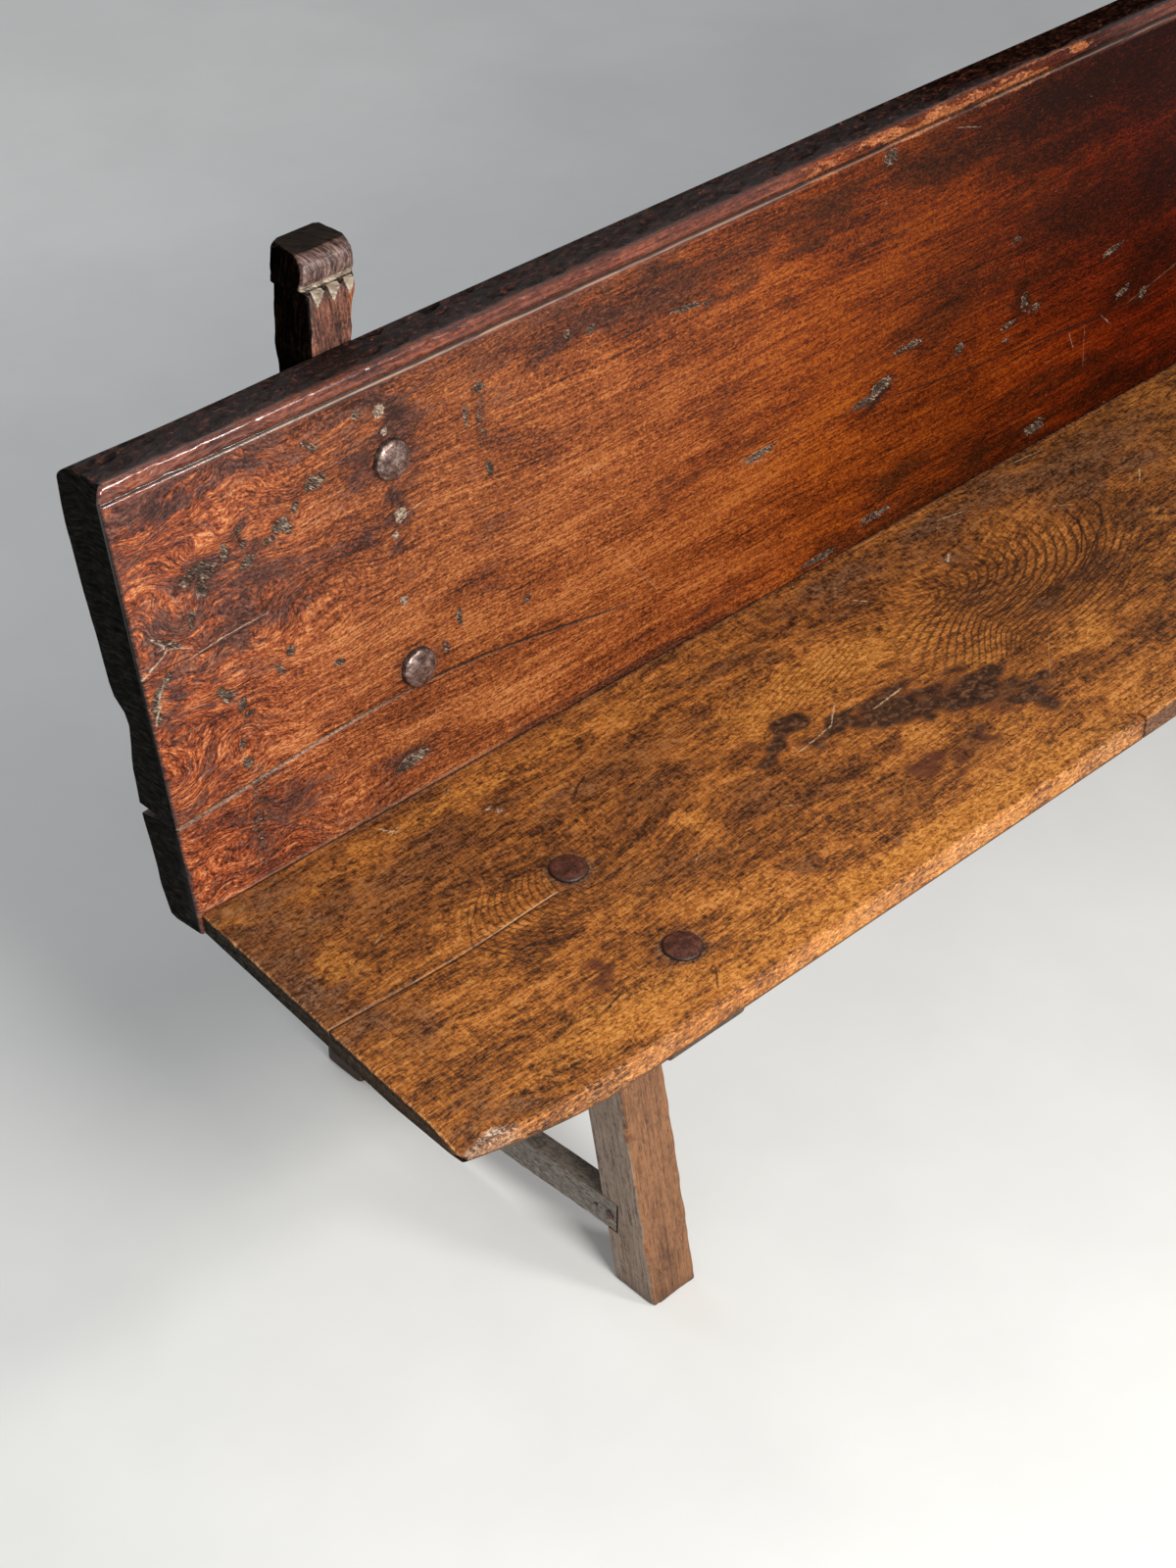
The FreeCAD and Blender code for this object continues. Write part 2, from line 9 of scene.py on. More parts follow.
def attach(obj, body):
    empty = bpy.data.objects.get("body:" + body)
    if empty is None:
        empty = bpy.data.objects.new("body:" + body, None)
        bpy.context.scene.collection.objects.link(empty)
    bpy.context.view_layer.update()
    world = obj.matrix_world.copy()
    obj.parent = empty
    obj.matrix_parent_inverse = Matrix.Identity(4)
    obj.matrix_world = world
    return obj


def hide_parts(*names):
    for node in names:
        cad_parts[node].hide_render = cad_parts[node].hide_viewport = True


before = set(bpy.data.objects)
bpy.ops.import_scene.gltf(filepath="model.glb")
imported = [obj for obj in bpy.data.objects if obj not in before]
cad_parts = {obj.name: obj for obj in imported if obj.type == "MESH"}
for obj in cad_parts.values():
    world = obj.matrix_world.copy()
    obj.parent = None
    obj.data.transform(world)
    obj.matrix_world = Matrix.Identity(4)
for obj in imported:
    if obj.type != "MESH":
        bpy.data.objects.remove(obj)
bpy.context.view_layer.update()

# Sizes of the bench in millimetres. u runs inward from the seat's left rear corner,
# y backward, z up. On the back board s runs up its face and t backward from it.
LEFT_END = -1021.0
LENGTH = 2042.0
CENTRE_SHIFT = 122.062
SEAT_TOP = 450.0
SEAT_UNDER = 422.0
SEAT_DEPTH = 419.0
SEAT_ARRIS, UNDER_ROUND = 3.6, 2.5
END_LEAD = 30.6
LEAN = math.radians(6.7)
LEAN_SIN, LEAN_COS = math.sin(LEAN), math.cos(LEAN)
BACK_FOOT = -22.0
BACK_TOP = 455.5
BEAD_FOOT = 437.3
OVERHANG_FOOT = 3.5
OVERHANG_TOP = 23.0
FRAME_U = 280.0
BEARER_UNDER = 376.0
LEG_WIDTH, LEG_DEPTH = 59.5, 57.0
LEG_FRONT = -359.0
SPLAY = math.tan(math.radians(11.6))
STRETCHER_HEIGHT, STRETCHER_THICK = 40.4, 24.0
STRETCHER_TOP = 107.3
STRETCHER_FALL = math.tan(math.radians(2.9))
OLD_HOLE_Y = -272.0
FOOT_FRONT, FOOT_DEPTH = 92.0, 60.0
POST_FRONT, POST_REAR = 60.0, 122.0


# Noise and small shaping helpers

def lattice(ix, iy, iz, seed):
    h = (ix.astype(np.uint32) * np.uint32(374761393)
         + iy.astype(np.uint32) * np.uint32(668265263)
         + iz.astype(np.uint32) * np.uint32(2246822519)
         + np.uint32((seed * 3266489917) & 0xFFFFFFFF))
    h ^= h >> np.uint32(15)
    h *= np.uint32(2246822519)
    h ^= h >> np.uint32(13)
    h *= np.uint32(3266489917)
    h ^= h >> np.uint32(16)
    return h.astype(np.float64) / 2147483648.0 - 1.0


def noise(p, seed=0):
    cell = np.floor(p).astype(np.int64)
    f = p - cell
    f = f * f * f * (f * (f * 6 - 15) + 10)
    total = 0.0
    for dx in (0, 1):
        wx = f[..., 0] if dx else 1 - f[..., 0]
        for dy in (0, 1):
            wy = f[..., 1] if dy else 1 - f[..., 1]
            for dz in (0, 1):
                wz = f[..., 2] if dz else 1 - f[..., 2]
                total = total + wx * wy * wz * lattice(
                    cell[..., 0] + dx, cell[..., 1] + dy, cell[..., 2] + dz, seed)
    return total


def fbm(p, size, octaves=3, seed=0):
    # p in millimetres, size is one cell or three
    q = p / np.asarray(size, float)
    total, weight, scale = 0.0, 1.0, 0.0
    for octave in range(octaves):
        total = total + weight * noise(q * 2.0 ** octave + 17.3 * octave, seed + octave)
        scale += weight
        weight *= 0.5
    return total / scale


def step(x, low, high):
    k = np.clip((x - low) / (high - low), 0, 1)
    return k * k * (3 - 2 * k)


def round_in(d, radius):
    # how far an edge of that radius stands in, at the distance d from its end
    k = np.clip(radius - d, 0, radius)
    return radius - np.sqrt(np.maximum(radius ** 2 - k ** 2, 0))


def path(x, knots):
    xs, ys = zip(*knots)
    fine = np.linspace(xs[0], xs[-1], 400)
    values = np.interp(fine, xs, ys)
    kernel = np.hanning(41)
    padded = np.pad(values, 20, mode="reflect", reflect_type="odd")
    return np.interp(x, fine, np.convolve(padded, kernel / kernel.sum(), "valid"))


def turned(a, b, tilt, reach_a, reach_b):
    # a and b turned by a tilt in degrees, in shares of two reaches
    c, s = math.cos(math.radians(tilt)), math.sin(math.radians(tilt))
    return (a * c + b * s) / reach_a, (-a * s + b * c) / reach_b


def blobs(a, b, spots):
    # soft spots of (a, b, reach along a, reach along b, strength, tilt if not 0)
    total = np.zeros(np.broadcast(a, b).shape)
    for ca, cb, ra, rb, strength, *tilt in spots:
        p, q = turned(a - ca, b - cb, tilt[0] if tilt else 0, ra, rb)
        total = np.maximum(total, strength * np.exp(-(p * p + q * q)))
    return total


def line_field(offset, away):
    # signed distance to a fine line in millimetres, pushed off where away is 1
    offset = np.clip(offset, -8, 8)
    return offset + np.where(offset < 0, -9.0, 9.0) * away


def round_marks(a, b, places, low, high):
    # 1 round each place, fading out between two distances from it
    marks = [1 - step(np.hypot(a - ca, b - cb), low, high) for ca, cb in places]
    return np.maximum.reduce(marks)


def stroke_fields(a, b, strokes):
    # signed offset from the nearest straight mark, in its half widths, and how near it is
    nearest, offset, strength = np.full(a.shape, 1e9), np.full(a.shape, 8.0), np.zeros(a.shape)
    for a1, b1, a2, b2, half in strokes:
        run_a, run_b = a2 - a1, b2 - b1
        length = math.hypot(run_a, run_b)
        share = np.clip(((a - a1) * run_a + (b - b1) * run_b) / length ** 2, 0, 1)
        away = np.hypot(a - a1 - share * run_a, b - b1 - share * run_b)
        signed = ((a - a1) * run_b - (b - b1) * run_a) / length
        offset = np.where(away < nearest, signed / max(half, 0.7), offset)
        strength = np.where(away < nearest, min(1.0, half / 1.2), strength)
        nearest = np.minimum(nearest, away)
    return offset, strength * (1 - step(nearest, 2.0, 7.0))


def add_strokes(fields, where, a, b, pale, dark):
    for name, strokes in (("scratch", pale), ("vein", dark)):
        offset, near = stroke_fields(a, b, strokes)
        fields[name], fields[name + "_near"] = offset, np.where(where, near, 0)


def steps(*runs):
    # positions from 0 on, in runs of (end, spacing)
    out = [0.0]
    for end, spacing in runs:
        count = max(1, round((end - out[-1]) / spacing))
        out.extend(np.linspace(out[-1], end, count + 1)[1:])
    return np.array(out)


class Section:
    # the columns of a board's rings, each with a kind, over n places along the board
    def __init__(self, n):
        self.n, self.columns = n, []

    def add(self, a, b, kind):
        self.columns.append((np.broadcast_to(a, (self.n,)), np.broadcast_to(b, (self.n,)), kind))

    def run(self, count, start, end, b, kind):
        # from start up to, but without, end
        for k in range(count):
            self.add(start + (end - start) * k / count, b, kind)

    def stacked(self):
        a, b, kinds = zip(*self.columns)
        return np.stack(a, 1), np.stack(b, 1), np.array(kinds)


# Mesh helpers

def place_in_scene(name, data):
    piece = bpy.data.objects.new(name, data)
    bpy.context.scene.collection.objects.link(piece)
    return piece


def face_outward(mesh, sharp=0):
    # turns every face outward, and makes the last few flat with sharp edges
    work = bmesh.new()
    work.from_mesh(mesh)
    bmesh.ops.recalc_face_normals(work, faces=work.faces)
    work.faces.ensure_lookup_table()
    for face in list(work.faces)[len(work.faces) - sharp:]:
        face.smooth = False
        for edge in face.edges:
            edge.smooth = False
    work.to_mesh(mesh)
    work.free()
    return place_in_scene(mesh.name, mesh)


def grid_mesh(name, rings, fields, sharp_caps=True):
    # rings is (rings, points, 3) in millimetres, each ring closed on itself
    n, m = rings.shape[:2]
    index = np.arange(n * m).reshape(n, m)
    low, high = index[:-1], index[1:]
    quads = np.stack([low, np.roll(low, -1, 1), np.roll(high, -1, 1), high], -1)
    faces = quads.reshape(-1, 4).tolist() + [index[0][::-1].tolist(), index[-1].tolist()]
    mesh = bpy.data.meshes.new(name)
    mesh.from_pydata((rings.reshape(-1, 3) * 0.001).tolist(), [], faces)
    mesh.polygons.foreach_set("use_smooth", np.ones(len(faces), bool))
    for key, values in fields.items():
        values = np.broadcast_to(values, (n, m)).astype(np.float32)
        mesh.attributes.new(key, "FLOAT", "POINT").data.foreach_set("value", values.ravel())
    return face_outward(mesh, 2 if sharp_caps else 0)


def join(name, pieces):
    bpy.ops.object.select_all(action="DESELECT")
    for piece in pieces:
        piece.select_set(True)
    bpy.context.view_layer.objects.active = pieces[0]
    bpy.ops.object.join()
    pieces[0].name = name
    pieces[0].data.name = name
    return pieces[0]


def cut(piece, cutter):
    boolean = piece.modifiers.new("cut", "BOOLEAN")
    boolean.object = cutter
    boolean.operation = "DIFFERENCE"
    boolean.solver = "EXACT"
    bpy.context.view_layer.update()
    graph = bpy.context.evaluated_depsgraph_get()
    mesh = bpy.data.meshes.new_from_object(piece.evaluated_get(graph))
    piece.modifiers.clear()
    piece.data = mesh
    mesh.name = piece.name
    bpy.data.objects.remove(cutter)


def settle(piece, slot, material, *nodes):
    piece.data.materials.clear()
    piece.data.materials.append(material)
    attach(piece, "root")
    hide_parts(*nodes)


# Material helpers

def colour(red, green, blue):
    def linear(value):
        value /= 255
        return value / 12.92 if value <= 0.04045 else ((value + 0.055) / 1.055) ** 2.4
    return (linear(red), linear(green), linear(blue), 1.0)


class Shade:
    def __init__(self, name):
        self.material = bpy.data.materials.new(name)
        self.material.use_nodes = True
        self.tree = self.material.node_tree
        self.tree.nodes.clear()
        self.surface = self.put("BsdfPrincipled")
        output = self.tree.nodes.new("ShaderNodeOutputMaterial")
        self.tree.links.new(self.surface.outputs[0], output.inputs["Surface"])
        metres = self.put("TexCoord").outputs["Object"]
        scaled = self.put("VectorMath", {0: metres, "Scale": 1000.0}, operation="SCALE")
        self.place = scaled.outputs["Vector"]

    def put(self, kind, inputs=None, **settings):
        made = self.tree.nodes.new("ShaderNode" + kind)
        for key, value in settings.items():
            setattr(made, key, value)
        self.connect(made, inputs or {})
        return made

    def connect(self, node, inputs):
        for key, value in inputs.items():
            if isinstance(value, bpy.types.NodeSocket):
                self.tree.links.new(value, node.inputs[key])
            else:
                node.inputs[key].default_value = value

    def math(self, operation, a, b=0.0, clamp=False):
        return self.put("Math", {0: a, 1: b}, operation=operation, use_clamp=clamp).outputs[0]

    def parts(self, vector):
        return self.put("SeparateXYZ", {0: vector}).outputs

    def facing(self):
        return self.parts(self.put("NewGeometry").outputs["Normal"])

    def times(self, a, b, clamp=False):
        return self.math("MULTIPLY", a, b, clamp)

    def total(self, start, *parts):
        # start plus the sum of (value - middle) * weight, from parts of (value, weight, middle).
        # A value may be the name of a vertex field, with its middle at 0. Noise lies round 0.5.
        parts = [(self.field(value), weight, 0.0) if isinstance(value, str)
                 else (value, weight, *(middle or (0.5,))) for value, weight, *middle in parts]
        so_far = start - sum(weight * middle for _, weight, middle in parts)
        for value, weight, _ in parts:
            inputs = {0: value, 1: weight, 2: so_far}
            so_far = self.put("Math", inputs, operation="MULTIPLY_ADD").outputs[0]
        return so_far

    def field(self, name):
        return self.put("Attribute", attribute_name=name).outputs["Fac"]

    def cells(self, vector, sizes, detail=3.0, rough=0.55, warp=0.0, turn=(0, 0, 0)):
        # noise with cells of these sizes in millimetres, turned by degrees
        turn = [math.radians(angle) for angle in turn]
        scaled = self.put("Mapping", {"Vector": vector, "Scale": sizes, "Rotation": turn},
                          vector_type="TEXTURE").outputs[0]
        made = self.put("TexNoise", {"Vector": scaled, "Scale": 1.0, "Detail": detail,
                                     "Roughness": rough, "Distortion": warp})
        return made.outputs[0]

    def band(self, value, low, high, to_low=0.0, to_high=1.0):
        made = self.put("MapRange", {0: value, 1: low, 2: high, 3: to_low, 4: to_high},
                        interpolation_type="SMOOTHSTEP")
        return made.outputs[0]

    def ramp(self, value, *stops):
        # stops are (position, red, green, blue)
        made = self.put("ValToRGB", {0: value})
        elements = made.color_ramp.elements
        while len(elements) < len(stops):
            elements.new(0.5)
        for element, (position, *shade) in zip(elements, stops):
            element.position = position
            element.color = colour(*shade)
        return made.outputs[0]

    def mix(self, factor, a, b, blend="MIX"):
        made = self.put("Mix", {0: factor, 6: a, 7: b}, data_type="RGBA", blend_type=blend)
        return made.outputs[2]

    def cover(self, base, mask, low, high, share, paint):
        # paints over the base where the mask, a value or the parts of a sum, rises past low
        mask = self.total(0.0, *mask) if isinstance(mask, tuple) else mask
        return self.mix(self.band(mask, low, high, 0.0, share), base, paint)

    def bump(self, height, distance, strength=1.0, normal=None):
        # distance in millimetres
        inputs = {"Height": height, "Distance": distance * 0.001, "Strength": strength}
        if normal is not None:
            inputs["Normal"] = normal
        return self.put("Bump", inputs).outputs[0]

    def grain_vector(self):
        # along the bench, across the grain, and up, all in millimetres
        x, _, z = self.parts(self.place)
        return self.put("CombineXYZ", {0: x, 1: self.field("grain"), 2: z}).outputs[0]

    def rail_vector(self, across):
        # along the piece, round it, and a little of one axis of the bench
        little = self.total(0.0, (self.parts(self.place)[across], 0.3, 0.0))
        return self.put("CombineXYZ", {0: self.field("grain"), 1: self.field("girth"),
                                       2: little}).outputs[0]

    def stroke_mask(self, name, jitter):
        # fine straight marks, from their signed offset in half widths and their nearness
        offset = self.math("ABSOLUTE", self.total(0.0, (name, 1.0), jitter))
        return self.times(self.field(name + "_near"), self.band(offset, 0.3, 1.2, 1.0, 0.0))

    def finish(self, base, roughness, normal, specular=0.5, metallic=0.0):
        self.connect(self.surface, {"Base Color": base, "Roughness": roughness, "Normal": normal,
                                    "Specular IOR Level": specular, "Metallic": metallic})
        return self.material


def back_walnut():
    m = Shade("back_walnut")
    v = m.grain_vector()
    clouds = m.cells(v, (170, 62, 75), 4, 0.6, 0.5)
    patches = m.cells(v, (78, 19, 60), 3, 0.6, 0.9)
    flame = m.cells(v, (22, 10, 30), 4, 0.64, 1.2)
    curl = m.cells(v, (8.5, 3.6, 8), 3, 0.66, 0.8)
    fleck = m.cells(v, (3.6, 2.0, 3.6), 2, 0.6, 0.5)
    streak = m.cells(v, (80, 2.6, 30), 3, 0.6, 0.3)
    pits = m.cells(v, (5.0, 2.0, 4), 2, 0.55, 0.3)
    along = m.total(-LEFT_END, (m.parts(m.place)[0], 1.0, 0.0))
    dark, glow, burl = m.field("dark"), m.field("glow"), m.field("burl")
    swirl = m.times(m.total(0.0, (flame, 1.0)), burl)
    tone = m.total(0.45, (clouds, 0.75), (curl, 1.05), (fleck, 1.35), (streak, 1.10),
                   (swirl, 1.4, 0.0), (glow, 0.17, 0.0), (dark, -0.20, 0.0))
    base = m.ramp(tone, (0.05, 44, 21, 14), (0.27, 86, 45, 26), (0.46, 126, 70, 38),
                  (0.64, 155, 92, 49), (0.85, 184, 130, 82))
    flamed = m.ramp(tone, (0.05, 46, 20, 14), (0.27, 92, 40, 25), (0.48, 138, 66, 38),
                    (0.66, 176, 92, 50), (0.88, 206, 140, 96))
    base = m.mix(m.times(burl, 0.9), base, flamed)
    smoke = m.total(0.5, (patches, 1.7), (dark, 0.62, 0.0), (burl, 0.14, 0.0), (curl, 1.1),
                    (swirl, -1.2, 0.0), (glow, -0.40, 0.0))
    base = m.cover(base, smoke, 0.58, 1.10, 0.85,
                   m.ramp(m.total(0.5, (curl, 1.0), (fleck, 0.8), (dark, -0.18, 0.0)),
                          (0.25, 42, 25, 22), (0.50, 88, 57, 50), (0.75, 134, 96, 84)))
    # The wood is left pale and greyish near the left end as a painted reflection, and turns a
    # darker, deeper red along the board, partly its own colour and partly a painted fall-off of the
    # light
    depth = m.ramp(m.math("DIVIDE", along, LENGTH), (0.03, 255, 255, 255), (0.25, 246, 226, 204),
                   (0.42, 222, 172, 88), (0.52, 192, 138, 46), (0.68, 190, 100, 12))
    base = m.mix(1.0, base, depth, "MULTIPLY")
    base = m.cover(base, pits, 0.60, 0.72, 0.55, colour(40, 18, 12))
    # Broken and chewed places show silvery fibres, partly bare wood and partly a painted highlight
    # on their rims, over hollows painted dark as shade
    torn = m.total(0.0, ("gouge", 1.0), (curl, 1.7), (fleck, 0.7))
    fibres = m.cells(m.place, (12, 5, 2.6), 3, 0.7, 1.4, (0, 38, 0))
    base = m.cover(base, torn, 0.34, 0.50, 1.0,
                   m.ramp(fibres, (0.36, 34, 21, 17), (0.48, 84, 59, 47), (0.56, 138, 112, 92),
                          (0.66, 202, 184, 164)))
    base = m.cover(base, torn, 0.62, 0.95, 0.75, colour(38, 27, 22))
    base = m.cover(base, (("putty", 1.0), (curl, 0.9)), 0.50, 0.66, 1.0,
                   m.ramp(fleck, (0.34, 52, 38, 31), (0.50, 128, 110, 94), (0.66, 190, 174, 152)))
    # Drying crack, dusty near the end, two fine shakes and the scratches
    for name, low, high in (("split", 0.9, 2.0), ("crack", 0.4, 1.3), ("shake", 0.5, 1.5)):
        offset = m.math("ABSOLUTE", m.total(0.0, (m.field(name), 1.0, 0.0), (curl, 2.4)))
        line = m.band(offset, low, high, 1.0, 0.0)
        if name == "split":
            dusty = m.times(line, m.field("dusty"))
            base = m.mix(dusty, base, m.ramp(fleck, (0.35, 88, 68, 56), (0.62, 164, 142, 122)))
            base = m.mix(m.times(line, m.field("open_dark")), base, colour(34, 17, 11))
        else:
            base = m.mix(m.times(line, 0.8), base, colour(38, 18, 12))
    pale = m.stroke_mask("scratch", (curl, 5.0))
    base = m.mix(m.times(pale, m.band(curl, 0.36, 0.56, 0.2, 1.0)), base, colour(186, 168, 146))
    shake = m.stroke_mask("vein", (curl, 4.0))
    base = m.mix(m.times(shake, 0.8), base, colour(30, 15, 10))
    # The bead is smooth and red brown; its quirk groove is painted dark as shade, and its ledge is
    # pale, partly dust and partly a painted highlight on the fillet
    bead_tone = m.total(0.5, (streak, 0.8), (curl, 0.7), (clouds, 0.7))
    base = m.mix(m.times(m.field("bead"), 0.85), base,
                 m.ramp(bead_tone, (0.30, 42, 18, 13), (0.50, 90, 42, 30), (0.70, 140, 76, 54)))
    base = m.cover(base, (("wear", 1.0), (curl, 1.3)), 0.45, 0.85, 0.9,
                   m.ramp(fleck, (0.34, 108, 56, 30), (0.52, 170, 98, 56), (0.68, 206, 140, 92)))
    base = m.mix(m.field("quirk"), base, colour(24, 13, 9))
    dusted = m.times(m.field("ledge"), m.band(streak, 0.35, 0.55, 0.25, 0.95))
    base = m.mix(dusted, base, colour(164, 142, 122))
    # The top is nearly black, the rear dark and hewn, and the ends are a dark charcoal grey,
    # painted shade over the end grain
    crumble = m.cells(m.place, (8, 5, 5), 4, 0.7, 1.2)
    soot = m.ramp(m.cells(m.place, (10, 5, 5), 4, 0.68, 0.7), (0.34, 9, 6, 5), (0.50, 30, 16, 12),
                  (0.62, 66, 34, 25), (0.74, 132, 84, 62))
    hewn = m.ramp(m.total(0.5, (streak, 0.9), (crumble, 0.9)), (0.28, 36, 26, 20),
                  (0.50, 74, 56, 43), (0.72, 112, 90, 70))
    base = m.mix(m.field("zone"), base, m.mix(m.band(m.facing()[1], 0.3, 0.8), soot, hewn))
    ends = m.ramp(m.cells(m.place, (20, 12, 3), 4, 0.6, 0.4), (0.32, 20, 20, 19),
                  (0.55, 40, 39, 37), (0.75, 66, 62, 57))
    base = m.mix(m.field("endface"), base, ends)
    rough = m.total(0.34, (clouds, 0.20), (curl, 0.20), ("zone", 0.10), ("endface", 0.30),
                    ("bead", -0.15))
    relief = m.total(0.0, (curl, 0.45, 0.0), (fleck, 0.30, 0.0), (pits, -0.30, 0.0),
                     (streak, 0.25, 0.0))
    relief = m.times(relief, m.total(1.0, ("bead", -0.8)), True)
    normal = m.bump(relief, 0.7, 0.8)
    coarse = m.times(crumble, m.total(0.0, (m.band(torn, 0.3, 0.7), 1.0, 0.0), ("zone", 1.2)))
    normal = m.bump(coarse, 3.2, 0.9, normal)
    shine = m.total(0.32, ("endface", -0.28), ("bead", 0.65), ("zone", -0.20),
                    (m.band(along, 700, 1400), -0.20, 0.0))
    return m.finish(base, rough, normal, shine)


def seat_walnut(name):
    m = Shade(name)
    v = m.grain_vector()
    clouds = m.cells(v, (105, 44, 60), 5, 0.62, 0.7)
    figure = m.cells(v, (44, 8, 30), 4, 0.6, 0.8)
    mottle = m.cells(v, (11, 7, 10), 4, 0.68, 0.9)
    speck = m.cells(v, (5.4, 3.1, 5), 3, 0.7, 0.8)
    sawn = m.cells(m.place, (2.0, 17, 9), 2, 0.55, 0.2, (0, 0, -8))
    hairs = m.cells(v, (20, 1.7, 8), 2, 0.55, 0.2)
    dark, pale = m.field("dark"), m.field("pale")
    tone = m.total(0.44, (clouds, 0.85), (figure, 0.80), (mottle, 0.95), (speck, 1.30),
                   (hairs, 0.70), (sawn, 0.45), (pale, 0.08, 0.0), (dark, -0.07, 0.0))
    base = m.ramp(tone, (0.08, 48, 27, 15), (0.28, 94, 56, 30), (0.46, 139, 83, 38),
                  (0.62, 178, 108, 44), (0.84, 208, 144, 80))
    base = m.cover(base, ((pale, 0.75, 0.0), (mottle, 0.9), (speck, 0.6), (figure, 0.8)), 0.25,
                   1.15, 0.75,
                   m.ramp(m.total(0.5, (speck, 1.0), (mottle, 0.8)), (0.34, 128, 74, 28),
                          (0.48, 184, 116, 46), (0.66, 222, 156, 80)))
    # Dark squiggles, closer together where the wood is stained
    ink = m.total(0.5, (speck, 1.0), (clouds, -0.25), (dark, 0.08, 0.0), (pale, -0.06, 0.0))
    base = m.cover(base, ink, 0.57, 0.70, 0.5, colour(70, 40, 22))
    # Growth rings show as thin dark lines, strongest round the knots
    phase = m.total(0.0, ("phase", 2 * math.pi), (mottle, 4.5), (clouds, 7.0))
    line = m.band(m.math("SINE", phase), 0.20, 0.95)
    ring = m.times(line, m.total(0.05, ("rings", 0.72), (mottle, 1.3)), True)
    base = m.mix(ring, base, colour(58, 34, 18))
    base = m.cover(base, ((dark, 0.80, 0.0), (mottle, 1.5), (speck, 1.0), (figure, 1.2)), 0.28,
                   1.20, 0.82,
                   m.ramp(m.total(0.5, (speck, 1.0), (mottle, 0.7)), (0.34, 44, 29, 22),
                          (0.50, 96, 65, 46), (0.68, 148, 108, 78)))
    soot = m.total(0.0, ("burn", 1.0), (mottle, 1.3), (figure, 0.7), (speck, 0.6))
    base = m.cover(base, soot, 0.20, 0.50, 0.5, colour(92, 50, 27))
    base = m.cover(base, soot, 0.38, 0.66, 0.93,
                   m.ramp(mottle, (0.34, 24, 17, 13), (0.50, 58, 39, 28), (0.66, 118, 80, 54)))
    base = m.cover(base, (("blush", 1.0), (mottle, 0.9), (speck, 0.6)), 0.30, 0.95, 0.8,
                   colour(82, 44, 32))
    # Bare torn wood at the corner, and rubbed edges that are also lightened as a painted highlight
    # along the front
    torn = m.ramp(m.cells(m.place, (6, 5, 3), 4, 0.7, 1.2), (0.34, 44, 31, 26), (0.48, 118, 82, 64),
                  (0.58, 188, 158, 134), (0.68, 226, 210, 194))
    base = m.cover(base, (("gouge", 1.0), (mottle, 0.9)), 0.38, 0.66, 1.0, torn)
    rubbed_and_highlight = m.total(0.0, ("wear", 1.0), (mottle, 0.9), (speck, 0.8))
    base = m.cover(base, rubbed_and_highlight, 0.40, 0.95, 0.85,
                   m.ramp(speck, (0.34, 130, 78, 38), (0.52, 200, 132, 72), (0.66, 228, 176, 120)))
    split = m.math("ABSOLUTE", m.total(0.0, ("split", 1.0), (mottle, 1.4)))
    base = m.mix(m.band(split, 0.5, 1.4, 0.9, 0.0), base, colour(178, 148, 114))
    vein = m.stroke_mask("vein", (mottle, 4.0))
    base = m.mix(m.times(vein, 0.85), base, colour(36, 23, 15))
    scratch = m.times(m.stroke_mask("scratch", (mottle, 5.0)), m.band(speck, 0.38, 0.56, 0.15, 1.0))
    base = m.mix(scratch, base, colour(200, 172, 134))
    # The end faces are a dark charcoal grey, painted shade over the end grain
    ends = m.ramp(m.cells(m.place, (12, 6, 4), 4, 0.6, 0.4), (0.32, 26, 24, 21), (0.55, 58, 53, 47),
                  (0.75, 92, 84, 74))
    under = m.ramp(figure, (0.3, 58, 42, 30), (0.6, 96, 72, 52), (0.8, 122, 96, 72))
    base = m.mix(m.field("zone"), base, under)
    base = m.mix(m.field("endface"), base, ends)
    rough = m.total(0.46, (clouds, 0.25), (mottle, 0.25), ("gouge", 0.15), ("zone", 0.28),
                    ("endface", 0.3))
    relief = m.total(0.0, (mottle, 0.50, 0.0), (speck, 0.45, 0.0), (sawn, 0.25, 0.0),
                     (ring, -0.35, 0.0))
    normal = m.bump(relief, 0.7, 0.8)
    crumble = m.cells(m.place, (7, 6, 4), 4, 0.7, 1.2)
    coarse = m.times(crumble, m.total(0.0, ("gouge", 1.0), ("endface", 1.0), ("zone", 0.35)))
    normal = m.bump(coarse, 3.0, 0.9, normal)
    shine = m.total(0.22, ("endface", -0.18))
    return m.finish(base, rough, normal, shine)


